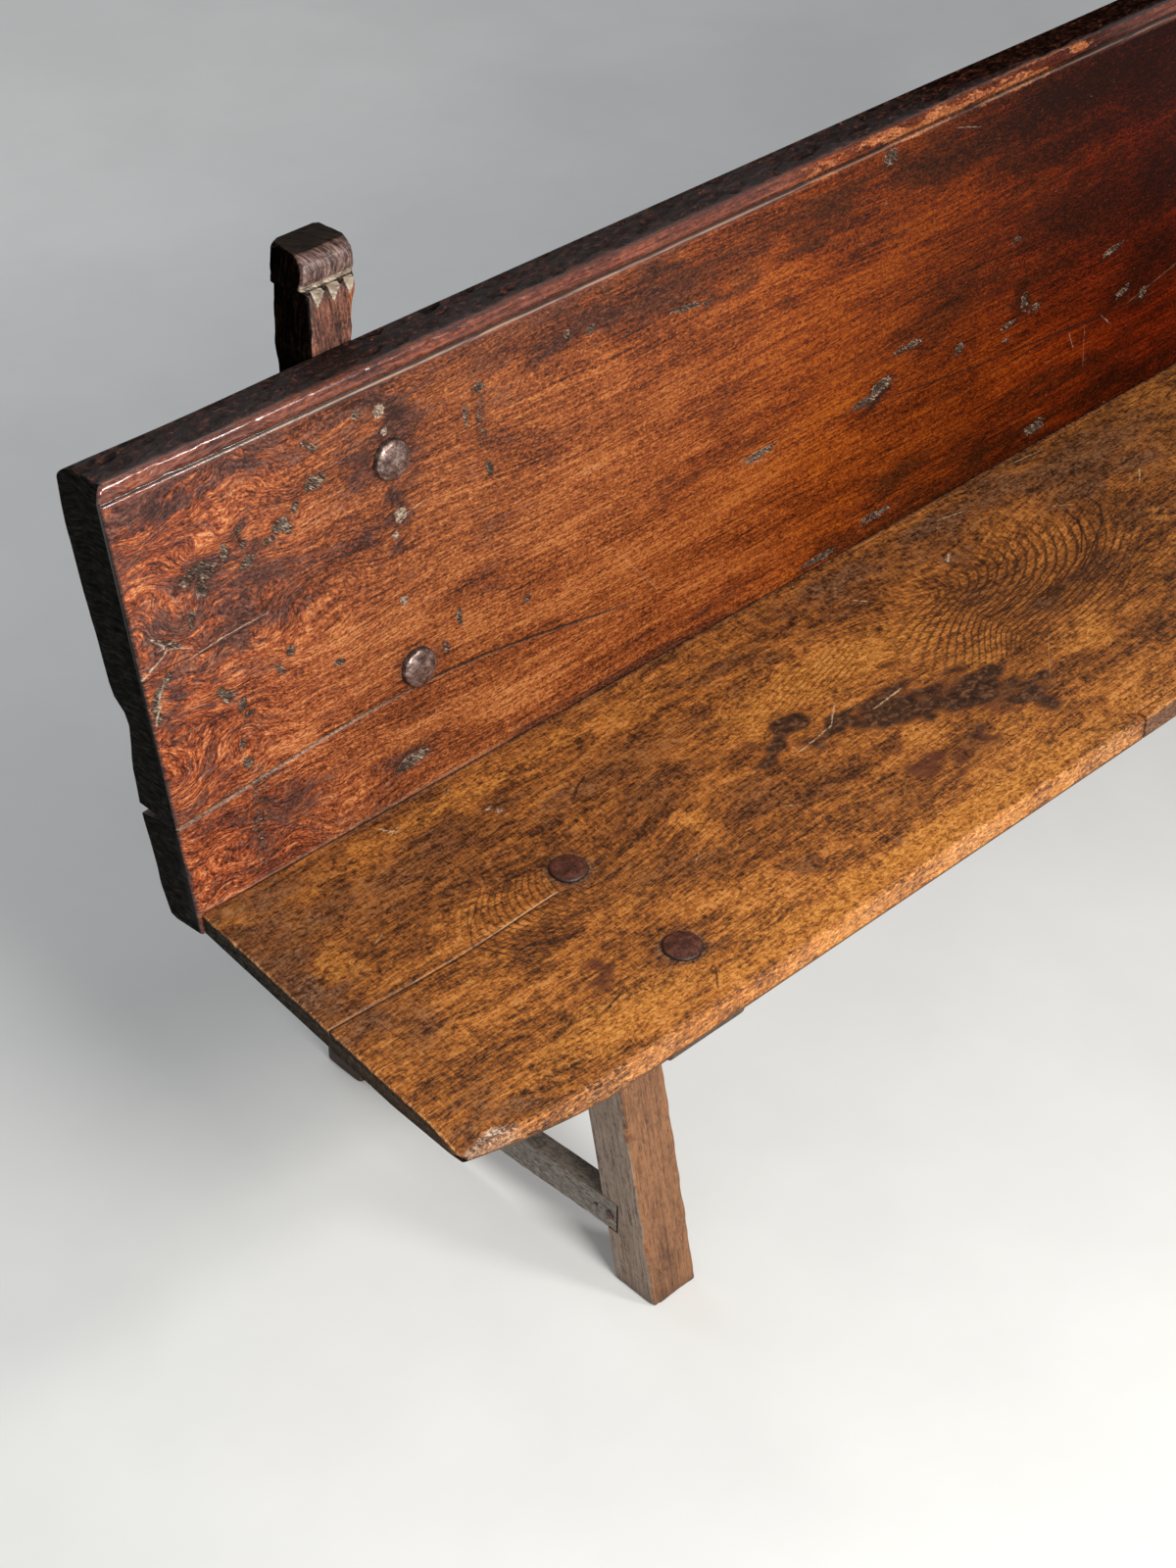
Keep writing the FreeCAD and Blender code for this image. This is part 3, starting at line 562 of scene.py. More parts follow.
def frame_walnut(name, light, mid, deep, grey, grey_share, across):
    # Rails and legs: the grain runs along the piece, as its grain field says
    m = Shade(name)
    v = m.rail_vector(across)
    clouds = m.cells(v, (90, 26, 30), 4, 0.6, 0.6)
    fibre = m.cells(v, (46, 2.2, 2.6), 3, 0.62, 0.25)
    pores = m.cells(v, (13, 1.6, 2), 2, 0.55, 0.1)
    mottle = m.cells(v, (7, 4.5, 5), 4, 0.66, 0.8)
    tone = m.total(0.50, (clouds, 0.7), (fibre, 0.8), (mottle, 0.75))
    base = m.ramp(tone, (0.22, *deep), (0.45, *mid), (0.66, *light), (0.90, *mid))
    base = m.cover(base, pores, 0.57, 0.70, 0.6, colour(*deep))
    # Faces turned toward the bench's ends get a grey copy of the wood: painted light, these sides
    # as they look lit only by the floor's bounce
    side = m.band(m.math("ABSOLUTE", m.facing()[0]), 0.55, 0.9, 0.0, grey_share)
    side = m.times(side, m.total(1.0, (clouds, 1.2)), True)
    base = m.mix(side, base,
                 m.ramp(m.total(0.5, (fibre, 1.0), (mottle, 0.7)), (0.28, 52, 45, 41),
                        (0.50, *grey), (0.75, 158, 146, 133)))
    base = m.cover(base, (("dark", 1.0), (mottle, 1.3)), 0.30, 1.0, 0.85, colour(44, 33, 27))
    base = m.cover(base, (("wear", 1.0), (mottle, 1.2)), 0.40, 0.95, 0.8,
                   m.ramp(mottle, (0.36, 70, 38, 26), (0.52, 134, 80, 50), (0.68, 186, 138, 96)))
    rough = m.total(0.58, (clouds, 0.25), (fibre, 0.25))
    relief = m.total(0.0, (fibre, 0.7, 0.0), (pores, -0.4, 0.0), (mottle, 0.4, 0.0))
    normal = m.bump(relief, 0.9, 0.85)
    crumble = m.times(m.cells(m.place, (5, 5, 8), 4, 0.7, 1.0),
                      m.total(0.0, ("wear", 1.0), ("dark", 0.4)))
    normal = m.bump(crumble, 2.5, 0.9, normal)
    return m.finish(base, rough, normal, 0.35)


def post_walnut():
    m = Shade("post_walnut")
    facing = m.facing()
    v = m.rail_vector(0)
    clouds = m.cells(v, (60, 24, 24), 4, 0.6, 0.5)
    fibre = m.cells(v, (34, 2.0, 2.6), 3, 0.62, 0.3)
    mottle = m.cells(v, (6, 4, 5), 4, 0.66, 0.8)
    tone = m.total(0.5, (clouds, 0.8), (fibre, 1.4), (mottle, 1.2))
    head = m.field("head")
    base = m.ramp(tone, (0.24, 34, 19, 15), (0.46, 82, 48, 37), (0.66, 124, 76, 58),
                  (0.88, 150, 96, 70))
    # The front of the head is smooth and purple brown. Faces turned from the front take a darker,
    # duller copy of the wood as painted shade, and the head's left side and the tops are painted
    # nearly black as shade
    front = m.band(facing[1], -0.30, -0.75)
    shaded_sides = m.ramp(tone, (0.26, 34, 24, 18), (0.50, 72, 52, 40), (0.76, 108, 84, 66))
    base = m.mix(front, shaded_sides, base)
    unlit = m.times(m.band(facing[0], -0.4, -0.7), m.band(m.field("grain"), 780, 860))
    unlit = m.math("MAXIMUM", unlit, m.times(m.band(facing[2], 0.5, 0.8), 0.8))
    base = m.mix(unlit, base, m.ramp(tone, (0.30, 4, 3, 2), (0.55, 10, 6, 4), (0.78, 30, 19, 13)))
    base = m.mix(m.times(front, head), base,
                 m.ramp(tone, (0.26, 44, 29, 27), (0.50, 92, 68, 62), (0.74, 136, 112, 104)))
    base = m.cover(base, (("ember", 1.0), (mottle, 0.8)), 0.25, 0.9, 0.85,
                   m.ramp(fibre, (0.35, 104, 50, 28), (0.6, 178, 98, 50)))
    # Dark: the crown, a band by the board's top, the foot, and the painted shade of the chip facets
    # and the ledge
    base = m.cover(base, (("dark", 1.0), (mottle, 1.0)), 0.35, 0.95, 0.92,
                   m.ramp(mottle, (0.4, 12, 9, 7), (0.7, 46, 33, 26)))
    # Pale: the lip, and the chip facets painted pale as lit
    base = m.cover(base, (("pale", 1.0), (mottle, 0.9)), 0.40, 0.75, 1.0,
                   m.ramp(mottle, (0.32, 96, 80, 68), (0.5, 156, 140, 122), (0.68, 196, 184, 166)))
    rough = m.total(0.52, (clouds, 0.3), (mottle, 0.25), (head, -0.18, 0.0))
    relief = m.total(0.0, (fibre, 0.7, 0.0), (mottle, 0.6, 0.0))
    normal = m.bump(relief, 1.1, 0.85)
    return m.finish(base, rough, normal, m.total(0.2, (front, 0.3, 0.0), (unlit, -0.2, 0.0)))


def forged_iron(name, low, mid, high, roughness, metallic, relief_depth):
    m = Shade(name)
    scale = m.cells(m.place, (8, 8, 8), 4, 0.62, 0.4)
    grit = m.cells(m.place, (2.2, 2.2, 2.2), 3, 0.6)
    base = m.ramp(m.total(0.5, (scale, 1.0), (grit, 0.6)), (0.28, *low), (0.52, *mid),
                  (0.76, *high))
    base = m.cover(base, m.field("dark"), 0.2, 1.0, 0.9, colour(16, 11, 9))
    rough = m.total(roughness, (scale, 0.35), (grit, 0.3))
    relief = m.total(0.0, (scale, 0.8, 0.0), (grit, 0.3, 0.0))
    return m.finish(base, rough, m.bump(relief, relief_depth, 0.7), 0.5, metallic)


# Back board

SPLIT = (
    (-40, 98.0), (0, 100.0), (60, 103.5), (130, 109.5), (190, 114.5), (283, 117.0), (377, 110.5),
    (450, 99.0), (524, 86.0), (640, 66.0), (1000, 40.0), (2100, 30.0))
SPLIT_WIDTH = ((-40, 3.0), (60, 2.6), (190, 2.0), (377, 1.4), (500, 1.0), (524, 0.6), (2100, 0.6))
SPLIT_REAR = ((-40, 13.5), (130, 6.0), (283, 3.5), (377, 2.0), (524, 0.6), (2100, 0.6))
BACK_END_PROFILE = (
    (-27, 46.0), (11, 53.5), (71, 56.0), (99, 57.5), (151, 55.0), (205, 39.5), (228, 60.0),
    (315, 64.0), (395, 68.0), (450, 64.0))
# Old damage on the face: u, s, half length, half width, tilt, depth
BACK_SCARS = (
    (52, 337, 15, 6, 25, 2.0), (69, 338, 13, 8, -35, 2.2), (63, 322, 7, 10, 10, 1.8),
    (47, 298, 3, 11, -10, 1.5), (92, 345, 4, 9, 5, 1.4), (111, 352, 4, 12, 8, 1.6),
    (114, 326, 12, 4, 20, 1.5), (139, 336, 10, 4, 10, 1.6), (154, 345, 12, 6, 12, 2.0),
    (164, 338, 7, 4, -20, 1.4), (200, 371, 13, 7, 12, 1.8), (174, 357, 4, 7, -30, 1.2),
    (199, 406, 11, 3, -38, 1.2), (255, 415, 6, 4, 0, 1.2), (72, 205, 9, 5, 25, 1.8),
    (64, 213, 6, 5, 0, 1.4), (84, 190, 4, 8, -30, 1.4), (91, 178, 6, 3, 0, 1.2),
    (-4, 238, 5, 12, -25, 1.8), (-5, 221, 5, 8, 10, 1.5), (10, 253, 9, 4, 50, 1.3),
    (20, 284, 12, 4, -38, 1.5), (8, 290, 6, 4, 60, 1.3), (197, 182, 8, 3, -12, 1.2),
    (131, 206, 7, 3, -60, 0.9), (146, 219, 5, 5, 0, 0.9), (266, 38, 20, 7, 6, 2.4),
    (80, 130, 6, 7, 20, 1.6), (77, 152, 3, 6, 0, 0.9), (398, 388, 9, 5, 0, 1.0),
    (402, 301, 4, 8, 10, 1.2), (380, 363, 3, 12, 0, 0.9), (515, 398, 4, 4, 0, 1.0),
    (545, 392, 7, 4, 0, 1.0), (324, 141, 4, 8, 20, 0.9), (430, 146, 6, 4, 0, 0.8),
    (672, 368, 26, 3, -8, 1.2), (702, 362, 6, 3, 0, 0.9), (953, 172, 20, 7, 12, 2.4),
    (931, 163, 22, 5, -4, 1.8), (1000, 203, 24, 4, 0, 1.0), (1197, 182, 6, 12, 0, 1.6),
    (1168, 166, 15, 3, 5, 1.2), (1215, 170, 8, 4, 0, 1.0), (1377, 133, 12, 5, 20, 1.4),
    (1411, 117, 6, 7, 0, 1.3), (766, 169, 22, 4, 5, 1.0), (1183, 263, 9, 3, 0, 0.9),
    (1352, 192, 18, 4, 10, 1.0), (1084, 170, 8, 6, 20, 0.8), (1162, 148, 6, 3, 0, 1.0),
    (1215, 20, 16, 8, 0, 1.0), (850, 8, 30, 4, 0, 0.8), (940, 22, 24, 5, 0, 0.8),
    (978, 425, 10, 9, 0, 0.8), (345, 165, 3, 12, 0, 0.7))
# Chatter marks left by a tool: u, s, half width, half height, rib pitch, depth
BACK_CHATTER = ((84, 66, 13, 60, 7.5, 1.6), (399, 352, 8, 34, 6.0, 1.2))
BACK_PLUGS = (
    (281, 409, 8.0), (290, 299, 9.0), (284, 388, 5.0), (281, 281, 5.0), (281, 211, 6.0))
# Stains and lighter places: u, s, reach along, reach up, strength, tilt if not 0
BACK_DARK = (
    (288, 402, 15, 26, 1.3), (290, 322, 11, 30, 1.2), (286, 270, 9, 20, 0.9),
    (287, 358, 34, 32, 0.8), (286, 135, 32, 30, 0.7), (28, 418, 26, 14, 1.1),
    (129, 421, 15, 9, 0.7), (245, 362, 15, 26, 0.9), (236, 288, 22, 12, 0.8, -35),
    (110, 70, 22, 56, 0.6), (66, 330, 34, 26, 0.8), (136, 298, 48, 30, 0.7, -25),
    (98, 262, 46, 26, 0.7, 10), (8, 235, 20, 34, 0.7), (130, 40, 24, 36, 0.5),
    (40, 70, 50, 50, 0.35), (266, 38, 34, 14, 0.7), (114, 350, 10, 20, 0.9),
    (30, 300, 24, 16, 0.6, 30), (560, 405, 200, 20, 0.6, -3), (640, 412, 60, 10, 0.7, 4),
    (450, 300, 90, 22, 0.3, -15), (400, 175, 80, 12, 0.5, -15), (720, 235, 26, 34, 0.5),
    (700, 372, 60, 10, 0.8, -8), (640, 185, 120, 8, 0.6, -3), (560, 160, 30, 10, 0.5),
    (400, 250, 40, 24, 0.35), (480, 90, 60, 14, 0.5, -12), (680, 25, 60, 18, 0.6),
    (580, 40, 40, 10, 0.5), (220, 22, 34, 10, 0.5), (420, 12, 90, 10, 0.4), (850, 405, 90, 22, 0.7),
    (860, 370, 40, 10, 0.9), (820, 320, 20, 10, 0.8, -20), (960, 332, 34, 8, 0.7),
    (1060, 222, 110, 24, 0.7, 4), (1100, 395, 120, 24, 0.8), (945, 165, 36, 12, 1.3, 10),
    (1196, 186, 26, 22, 1.0), (1380, 136, 40, 14, 0.9, 10), (1411, 120, 12, 16, 1.0),
    (1300, 400, 190, 30, 1.3), (1280, 350, 120, 24, 1.0), (1440, 440, 140, 30, 1.4),
    (1420, 380, 80, 50, 1.2), (1300, 260, 120, 50, 0.8, -8), (1440, 250, 80, 60, 1.0),
    (1440, 160, 70, 40, 0.9), (980, 50, 130, 16, 0.6), (900, 16, 130, 12, 0.9),
    (1160, 24, 120, 16, 0.8), (1250, 60, 120, 16, 0.6), (1380, 20, 120, 16, 0.9),
    (1060, 120, 60, 5, 0.6), (1700, 240, 160, 140, 0.9), (1930, 300, 120, 120, 1.0),
    (1900, 80, 160, 60, 0.7))
BACK_GLOW = (
    (620, 110, 420, 100, 0.8), (560, 215, 180, 60, 0.6, -6), (800, 150, 190, 50, 1.2),
    (860, 270, 170, 60, 0.8), (200, 200, 80, 34, 0.7, -15), (20, 62, 34, 22, 0.9),
    (150, 118, 50, 8, 1.3, 6), (1120, 120, 170, 50, 0.7), (110, 390, 70, 26, 0.5),
    (60, 366, 40, 10, 0.9, 20), (340, 230, 70, 50, 0.5), (790, 14, 44, 12, 1.3),
    (620, 330, 200, 30, 0.5), (420, 50, 160, 36, 0.6), (1000, 300, 120, 60, 0.5),
    (1700, 150, 200, 80, 0.4))
# Straight marks: from u, s to u, s, half width
BACK_PALE_STROKES = (
    (40, 262, 75, 266, 0.9), (75, 266, 122, 268, 0.7), (-18, 261, 8, 275, 1.3),
    (3, 296, 17, 281, 1.3), (17, 281, 36, 273, 0.9), (8, 275, 20, 284, 1.2),
    (-8, 216, -2, 228, 1.2), (-3, 232, 4, 246, 1.2), (742, 173, 786, 173, 0.9),
    (744, 166, 770, 160, 0.5), (1088, 423, 1116, 415, 0.5), (568, 126, 604, 80, 0.25),
    (522, 247, 538, 248, 0.6), (318, 302, 298, 298, 0.4), (1278, 112, 1283, 98, 0.6),
    (1305, 112, 1303, 68, 0.3), (1395, 116, 1470, 130, 0.3), (-30, 192, 40, 191, 0.3),
    (1340, 112, 1346, 106, 0.9))
BACK_DARK_STROKES = (
    (600, 194, 760, 186, 0.8), (640, 181, 800, 182, 0.8), (560, 200, 640, 196, 0.6),
    (740, 190, 860, 184, 0.9), (790, 172, 870, 170, 0.8), (330, 190, 470, 150, 0.7),
    (1050, 121, 1140, 118, 1.0), (1140, 118, 1290, 122, 1.2), (1220, 126, 1350, 112, 0.9),
    (190, 192, 270, 213, 0.5), (300, 300, 318, 304, 0.9), (640, 374, 690, 366, 1.0),
    (860, 164, 905, 162, 1.2), (1395, 114, 1440, 122, 0.8))
BACK_NAILS = ((287.0, 135.1), (287.0, 358.3))


def back_place(s, t):
    # y and z of a place on the leaning back
    return s * LEAN_SIN + t * LEAN_COS, SEAT_TOP + s * LEAN_COS - t * LEAN_SIN


def to_row(side, u, y, z):
    # points in the frame's millimetres, of the left half or, with side -1, of the right
    return np.stack([side * (u + LEFT_END), y + CENTRE_SHIFT, z], -1)


def scar_marks(a, b, scars, seed):
    # hollows with ragged edges, and how strongly each place is chewed
    plane = np.stack([a, b, np.zeros_like(a)], -1)
    ragged = fbm(plane, 7.0, 3, seed)
    hollow, mark = np.zeros_like(a), np.zeros_like(a)
    for ca, cb, length, width, tilt, depth in scars:
        near = (np.abs(a - ca) < 3 * length + 12) & (np.abs(b - cb) < 3 * max(length, width) + 12)
        p, q = turned(a[near] - ca, b[near] - cb, tilt, length, width)
        inside = np.exp(-(p * p + q * q) ** 1.4) * (1 + 0.9 * ragged[near])
        hollow[near] = np.maximum(hollow[near], depth * np.clip(inside, 0, 1.3))
        mark[near] = np.maximum(mark[near], np.clip(inside * 1.05, 0, 1))
    return hollow, mark


def make_back_board():
    spacing = steps((0.5, 0.5), (3.5, 1.0), (560, 3.1), (1300, 5.2), (1700, 11.0), (2038, 24.0),
                    (2041.5, 1.2), (2042, 0.5))
    n = len(spacing)
    split = path(spacing, SPLIT)
    width = np.interp(spacing, *zip(*SPLIT_WIDTH))
    rear_width = np.interp(spacing, *zip(*SPLIT_REAR))
    notch = 3.0 * (1 - step(spacing, 470, 524))
    bulge = 3.5 * step(spacing, 40, 300) * (1 - step(spacing, 1000, 1400))
    end_mix = np.exp(-(spacing / 85.0) ** 2)[:, None]

    def rear_face(s):
        plain = 60.0 - 13.0 * np.clip((90.0 - s) / 109.0, 0, 1)
        ragged = np.interp(s, *zip(*BACK_END_PROFILE))
        return plain * (1 - end_mix) + ragged * end_mix + (bulge[:, None] * step(s, 250, 430))

    section = Section(n)
    add = section.add
    lower = split - width / 2
    upper = split + width / 2
    section.run(40, BACK_FOOT, lower, 0.0, "front")
    add(lower, 0.0, "front")
    add(split - width * 0.3, notch * 0.7, "notch")
    add(split, notch, "notch")
    add(split + width * 0.3, notch * 0.7, "notch")
    section.run(112, upper, BEAD_FOOT - 1.6, 0.0, "front")
    for s, t in ((BEAD_FOOT - 1.6, 0.0), (BEAD_FOOT, 0.0), (438.6, 1.9), (439.9, 3.6)):
        add(s, t, "ledge")
    for k in range(1, 12):
        a = math.radians(-90 + 15 * k)
        edge = 3.3 if a < 0 else 3.9
        add(447.7 + 7.8 * math.sin(a), 0.3 + edge * (1 - math.cos(a)), "bead")
    bead_start = len(section.columns) - 11
    rear_top = rear_face(np.full((n, 1), 448.5))[:, 0]
    for k in range(20):
        add(BACK_TOP, 4.2 + (rear_top - 7 - 4.2) * k / 19, "top")
    for k in range(1, 5):
        a = math.radians(22.5 * k)
        add(BACK_TOP - 7 * (1 - math.cos(a)), rear_top - 7 + 7 * math.sin(a), "rear")
    rear_upper, rear_lower = split + rear_width / 2, split - rear_width / 2
    for k in range(1, 27):
        s = 448.5 + (rear_upper - 448.5) * k / 26
        add(s, rear_face(s[:, None])[:, 0], "rear")
    deep = rear_face(split[:, None])[:, 0]
    inner = deep + (notch + 0.35 - deep) * (1 - step(spacing, 470, 524))
    add(split + rear_width * 0.30, deep + (inner - deep) * 0.45, "inside")
    add(split + 0.6, inner, "inside")
    add(split - 0.6, inner, "inside")
    add(split - rear_width * 0.30, deep + (inner - deep) * 0.45, "inside")
    for k in range(16):
        s = rear_lower + (BACK_FOOT + 3 - rear_lower) * k / 15
        add(s, rear_face(s[:, None])[:, 0], "rear")
    foot = rear_face(np.full((n, 1), -19.0))[:, 0]
    for k in range(1, 8):
        add(BACK_FOOT, (foot - 3) * (1 - k / 8), "rear")

    s, t, kinds = section.stacked()
    over = OVERHANG_FOOT + (OVERHANG_TOP - OVERHANG_FOOT) * (s - BACK_FOOT) / (BACK_TOP - BACK_FOOT)
    over = over - round_in(BACK_TOP - s, 9.0)
    u = spacing[:, None] - over * (1 - 2 * spacing[:, None] / LENGTH)
    plane = np.stack([u, s, t], -1)

    front = np.isin(kinds, ("front", "notch"))[None, :]
    bead = np.isin(kinds, ("ledge", "bead"))[None, :]
    top = (kinds == "top")[None, :]
    rear = np.isin(kinds, ("rear", "inside"))[None, :]

    hollow, gouge = scar_marks(u, s, BACK_SCARS, 31)
    chatter = np.zeros_like(u)
    for cu, cs, half_width, half_height, pitch, depth in BACK_CHATTER:
        wander = 5 * fbm(plane, (40, 30, 40), 2, 5)
        across = (u - cu - 0.10 * (s - cs) + wander * 0.6) / half_width
        up = (s - cs) / half_height
        inside = np.exp(-across ** 4 - up ** 4)
        ribs = 0.5 + 0.5 * np.sin(2 * math.pi * (s + 0.35 * u + wander) / pitch)
        chatter = np.maximum(chatter, inside)
        hollow = np.maximum(hollow, inside * depth * (0.45 + 0.75 * ribs))
    putty = np.zeros_like(u)
    for cu, cs, radius in BACK_PLUGS:
        away = np.hypot(u - cu, s - cs) / radius
        hollow = np.maximum(hollow, 1.1 * (1 - step(away, 0.5, 1.15)))
        putty = np.maximum(putty, 1 - step(away, 0.55, 1.2))
    wave = 0.55 * fbm(plane, (150, 60, 90), 3, 3) + 0.18 * fbm(plane, (26, 12, 20), 2, 9)
    end_round = round_in(np.minimum(spacing, LENGTH - spacing), 3.0)[:, None]
    wave = wave * (1 - round_marks(u, s, BACK_NAILS, 20, 40)) * (1 - end_round / 3)
    fade_foot = step(s, -22, 8)
    t = t + np.where(front | bead, np.maximum(hollow, 0) * np.where(bead, 0.3, 1.0), 0)
    t = t + np.where(front, wave * fade_foot, 0) + np.where(front | bead, end_round, 0)

    # The bead is chewed flat over a stretch and at its left end, and nicked elsewhere
    chewed = step(u, 800, 900) * (1 - step(u, 1290, 1400))
    nicks = np.clip(fbm(plane, (16, 10, 10), 2, 21) - 0.28, 0, 1) * 2.2
    chips = np.clip(fbm(plane, (18, 6, 9), 3, 22) - 0.05, 0, 1)
    nicks = nicks + (1 - step(u, 20, 130)) * chips * 3.4
    rag = np.clip(0.5 + 1.3 * fbm(plane, (34, 9, 12), 3, 23), 0, 1.4)
    bead_loss = chewed * rag * 2.6 + nicks
    t = t + np.where(bead, bead_loss * np.where(kinds == "ledge", 0.4, 1.0)[None, :], 0)
    s_low = np.where(top | (bead & (s > 450)), chewed * rag * 2.4 * np.exp(-t / 12.0), 0)
    rough_top = 2.6 * fbm(plane, (15, 8, 8), 3, 27) - 1.1
    rough_top = rough_top - 2.8 * step(fbm(plane, (22, 10, 9), 2, 29), 0.22, 0.5) * step(t, 8, 20)
    s = s + np.where(top, np.minimum(rough_top, 0.4) * step(t, 4, 16), 0) - s_low
    hewn = 2.0 * fbm(plane, (90, 46, 30), 3, 33) + 0.8 * fbm(plane, (26, 16, 12), 2, 35)
    keep_thick = step(BACK_TOP - s, 0, 20)
    t = t + np.where((kinds == "rear")[None, :] & (t > 20), hewn * keep_thick - 0.8, 0)

    burl = np.exp(-np.clip(u, 0, None) ** 2 / 190.0 ** 2)
    flat = np.stack([u, s, 0 * u], -1)
    swirl = 62 * fbm(flat, (95, 70, 50), 3, 41) * burl + 10 * fbm(flat, (260, 80, 50), 2, 43)
    arc = np.cumsum(np.hypot(np.diff(s, axis=1, prepend=s[:, :1]),
                             np.diff(t, axis=1, prepend=t[:, :1])), 1)
    grain = np.where(rear | top, arc, s + swirl)
    bent_u = u + 30 * fbm(flat, (40, 16, 20), 3, 45)
    bent_s = s + 18 * fbm(flat, (30, 16, 20), 3, 47)
    # Stains, darker near the top, and darker to the right as a painted fall-off of the light
    dark = blobs(bent_u, bent_s, BACK_DARK) + 0.28 * step(u, 900, 1500) + 0.25 * step(s, 320, 430)
    dark = np.maximum(dark, 0.9 * (chatter * 0.4))
    junction = 1 - step(np.abs(s - 3), 2, 11)
    dark = np.maximum(dark, 0.75 * junction * step(u, 330, 420))
    wear = np.where(bead, 0.9 * chewed * rag, 0)
    wear = np.maximum(wear, np.where(top & (t < 14), chewed * 0.9 * rag, 0))
    # The quirk columns are marked for painted shade, the ledge column for dust and a painted
    # highlight
    ledge_column = np.where(np.arange(len(kinds)) == bead_start - 3, 1.0, 0.0)
    quirk_column = np.isin(np.arange(len(kinds)), (bead_start - 2, bead_start - 1, bead_start))
    ledge = ledge_column[None, :] * (0.9 - 0.5 * step(u, 700, 850)) * step(u, -10, 140)
    foot_line = np.where(front, 1 - step(np.abs(s - 0.5), 0.5, 3.5), 0)
    ledge = np.maximum(ledge, foot_line * (1 - step(u, 330, 420)) * 0.3)
    # The rounded arris at the left end is darkened with the end face, painted shade
    arris = np.where(front, 1 - step(spacing[:, None], 0.8, 3.2), 0)
    dark = np.maximum(dark, 0.75 * arris)
    open_split = 1 - step(u, 500, 640)
    fields = {
        "grain": grain, "burl": burl, "dark": dark, "glow": blobs(bent_u, bent_s, BACK_GLOW),
        "gouge": np.where(front | bead, np.maximum(gouge, chatter * 0.34), 0), "wear": wear,
        "putty": np.where(front, putty, 0),
        "bead": np.where(bead, 1 - 0.8 * chewed, np.where(top, 0.7 * np.exp(-t / 9.0), 0)),
        "ledge": ledge, "quirk": np.where(quirk_column, 0.8, 0.0)[None, :] + np.zeros_like(u),
        "zone": np.where(front | bead, 0.0, np.where(top, step(t, 5, 15), 1.0)),
        "endface": np.where(spacing[:, None] < 0.1, 1.0, 0.0) + np.zeros_like(u),
        "split": np.where(front, line_field(s - split[:, None], step(u, 560, 640)), 8),
        "dusty": np.clip(open_split * (1 - step(u, 150, 300)) + 0.25 * open_split, 0, 0.9),
        "open_dark": 0.8 * open_split * step(u, 150, 330),
        "crack": np.where(front, line_field(s - np.interp(u, (-17, 44, 122), (262.3, 262.5, 263.2))
                          - 1.5 * np.sin(u / 13.0), step(u, 100, 128)), 8),
        "shake": np.where(front, line_field(s - np.interp(u, (909, 1119, 1479), (161, 136, 104)),
                          1 - step(u, 940, 1000) * (1 - step(u, 1440, 1490))), 8),
    }
    add_strokes(fields, front, u, s, BACK_PALE_STROKES, BACK_DARK_STROKES)
    piece = grid_mesh("back_board_face", to_row(1, u, *back_place(s, t)), fields)
    settle(piece, "back_walnut", back_walnut(), "back_board")


# Seat board

SEAT_SPLIT = (
    (-60, 200.0), (-12, 201.8), (26, 204.4), (68, 206.3), (104, 208.6), (162, 210.6), (193, 209.0),
    (223, 207.6), (250, 205.5), (276, 204.5), (420, 204.5), (2100, 204.5))
PATCH = (886.0, 1126.0)
PATCH_DEPTH = 12.0
TIP_SETBACK = 20.0
TIP_U = -END_LEAD * (SEAT_DEPTH - TIP_SETBACK) / SEAT_DEPTH
SWEEP_RUN = 160.0
SWEEP_RADIUS = (SWEEP_RUN ** 2 + TIP_SETBACK ** 2) / (2 * TIP_SETBACK)
TIP_ROUND = 6.5
# Wear of the corners: height, and run along and across. The ends are planed thinner below.
TIP_RISE = (15.0, 170.0, 190.0)
TIP_DROP = (7.0, 60.0, 46.0)
END_BEVEL, END_BEVEL_RUN = 7.0, 55.0
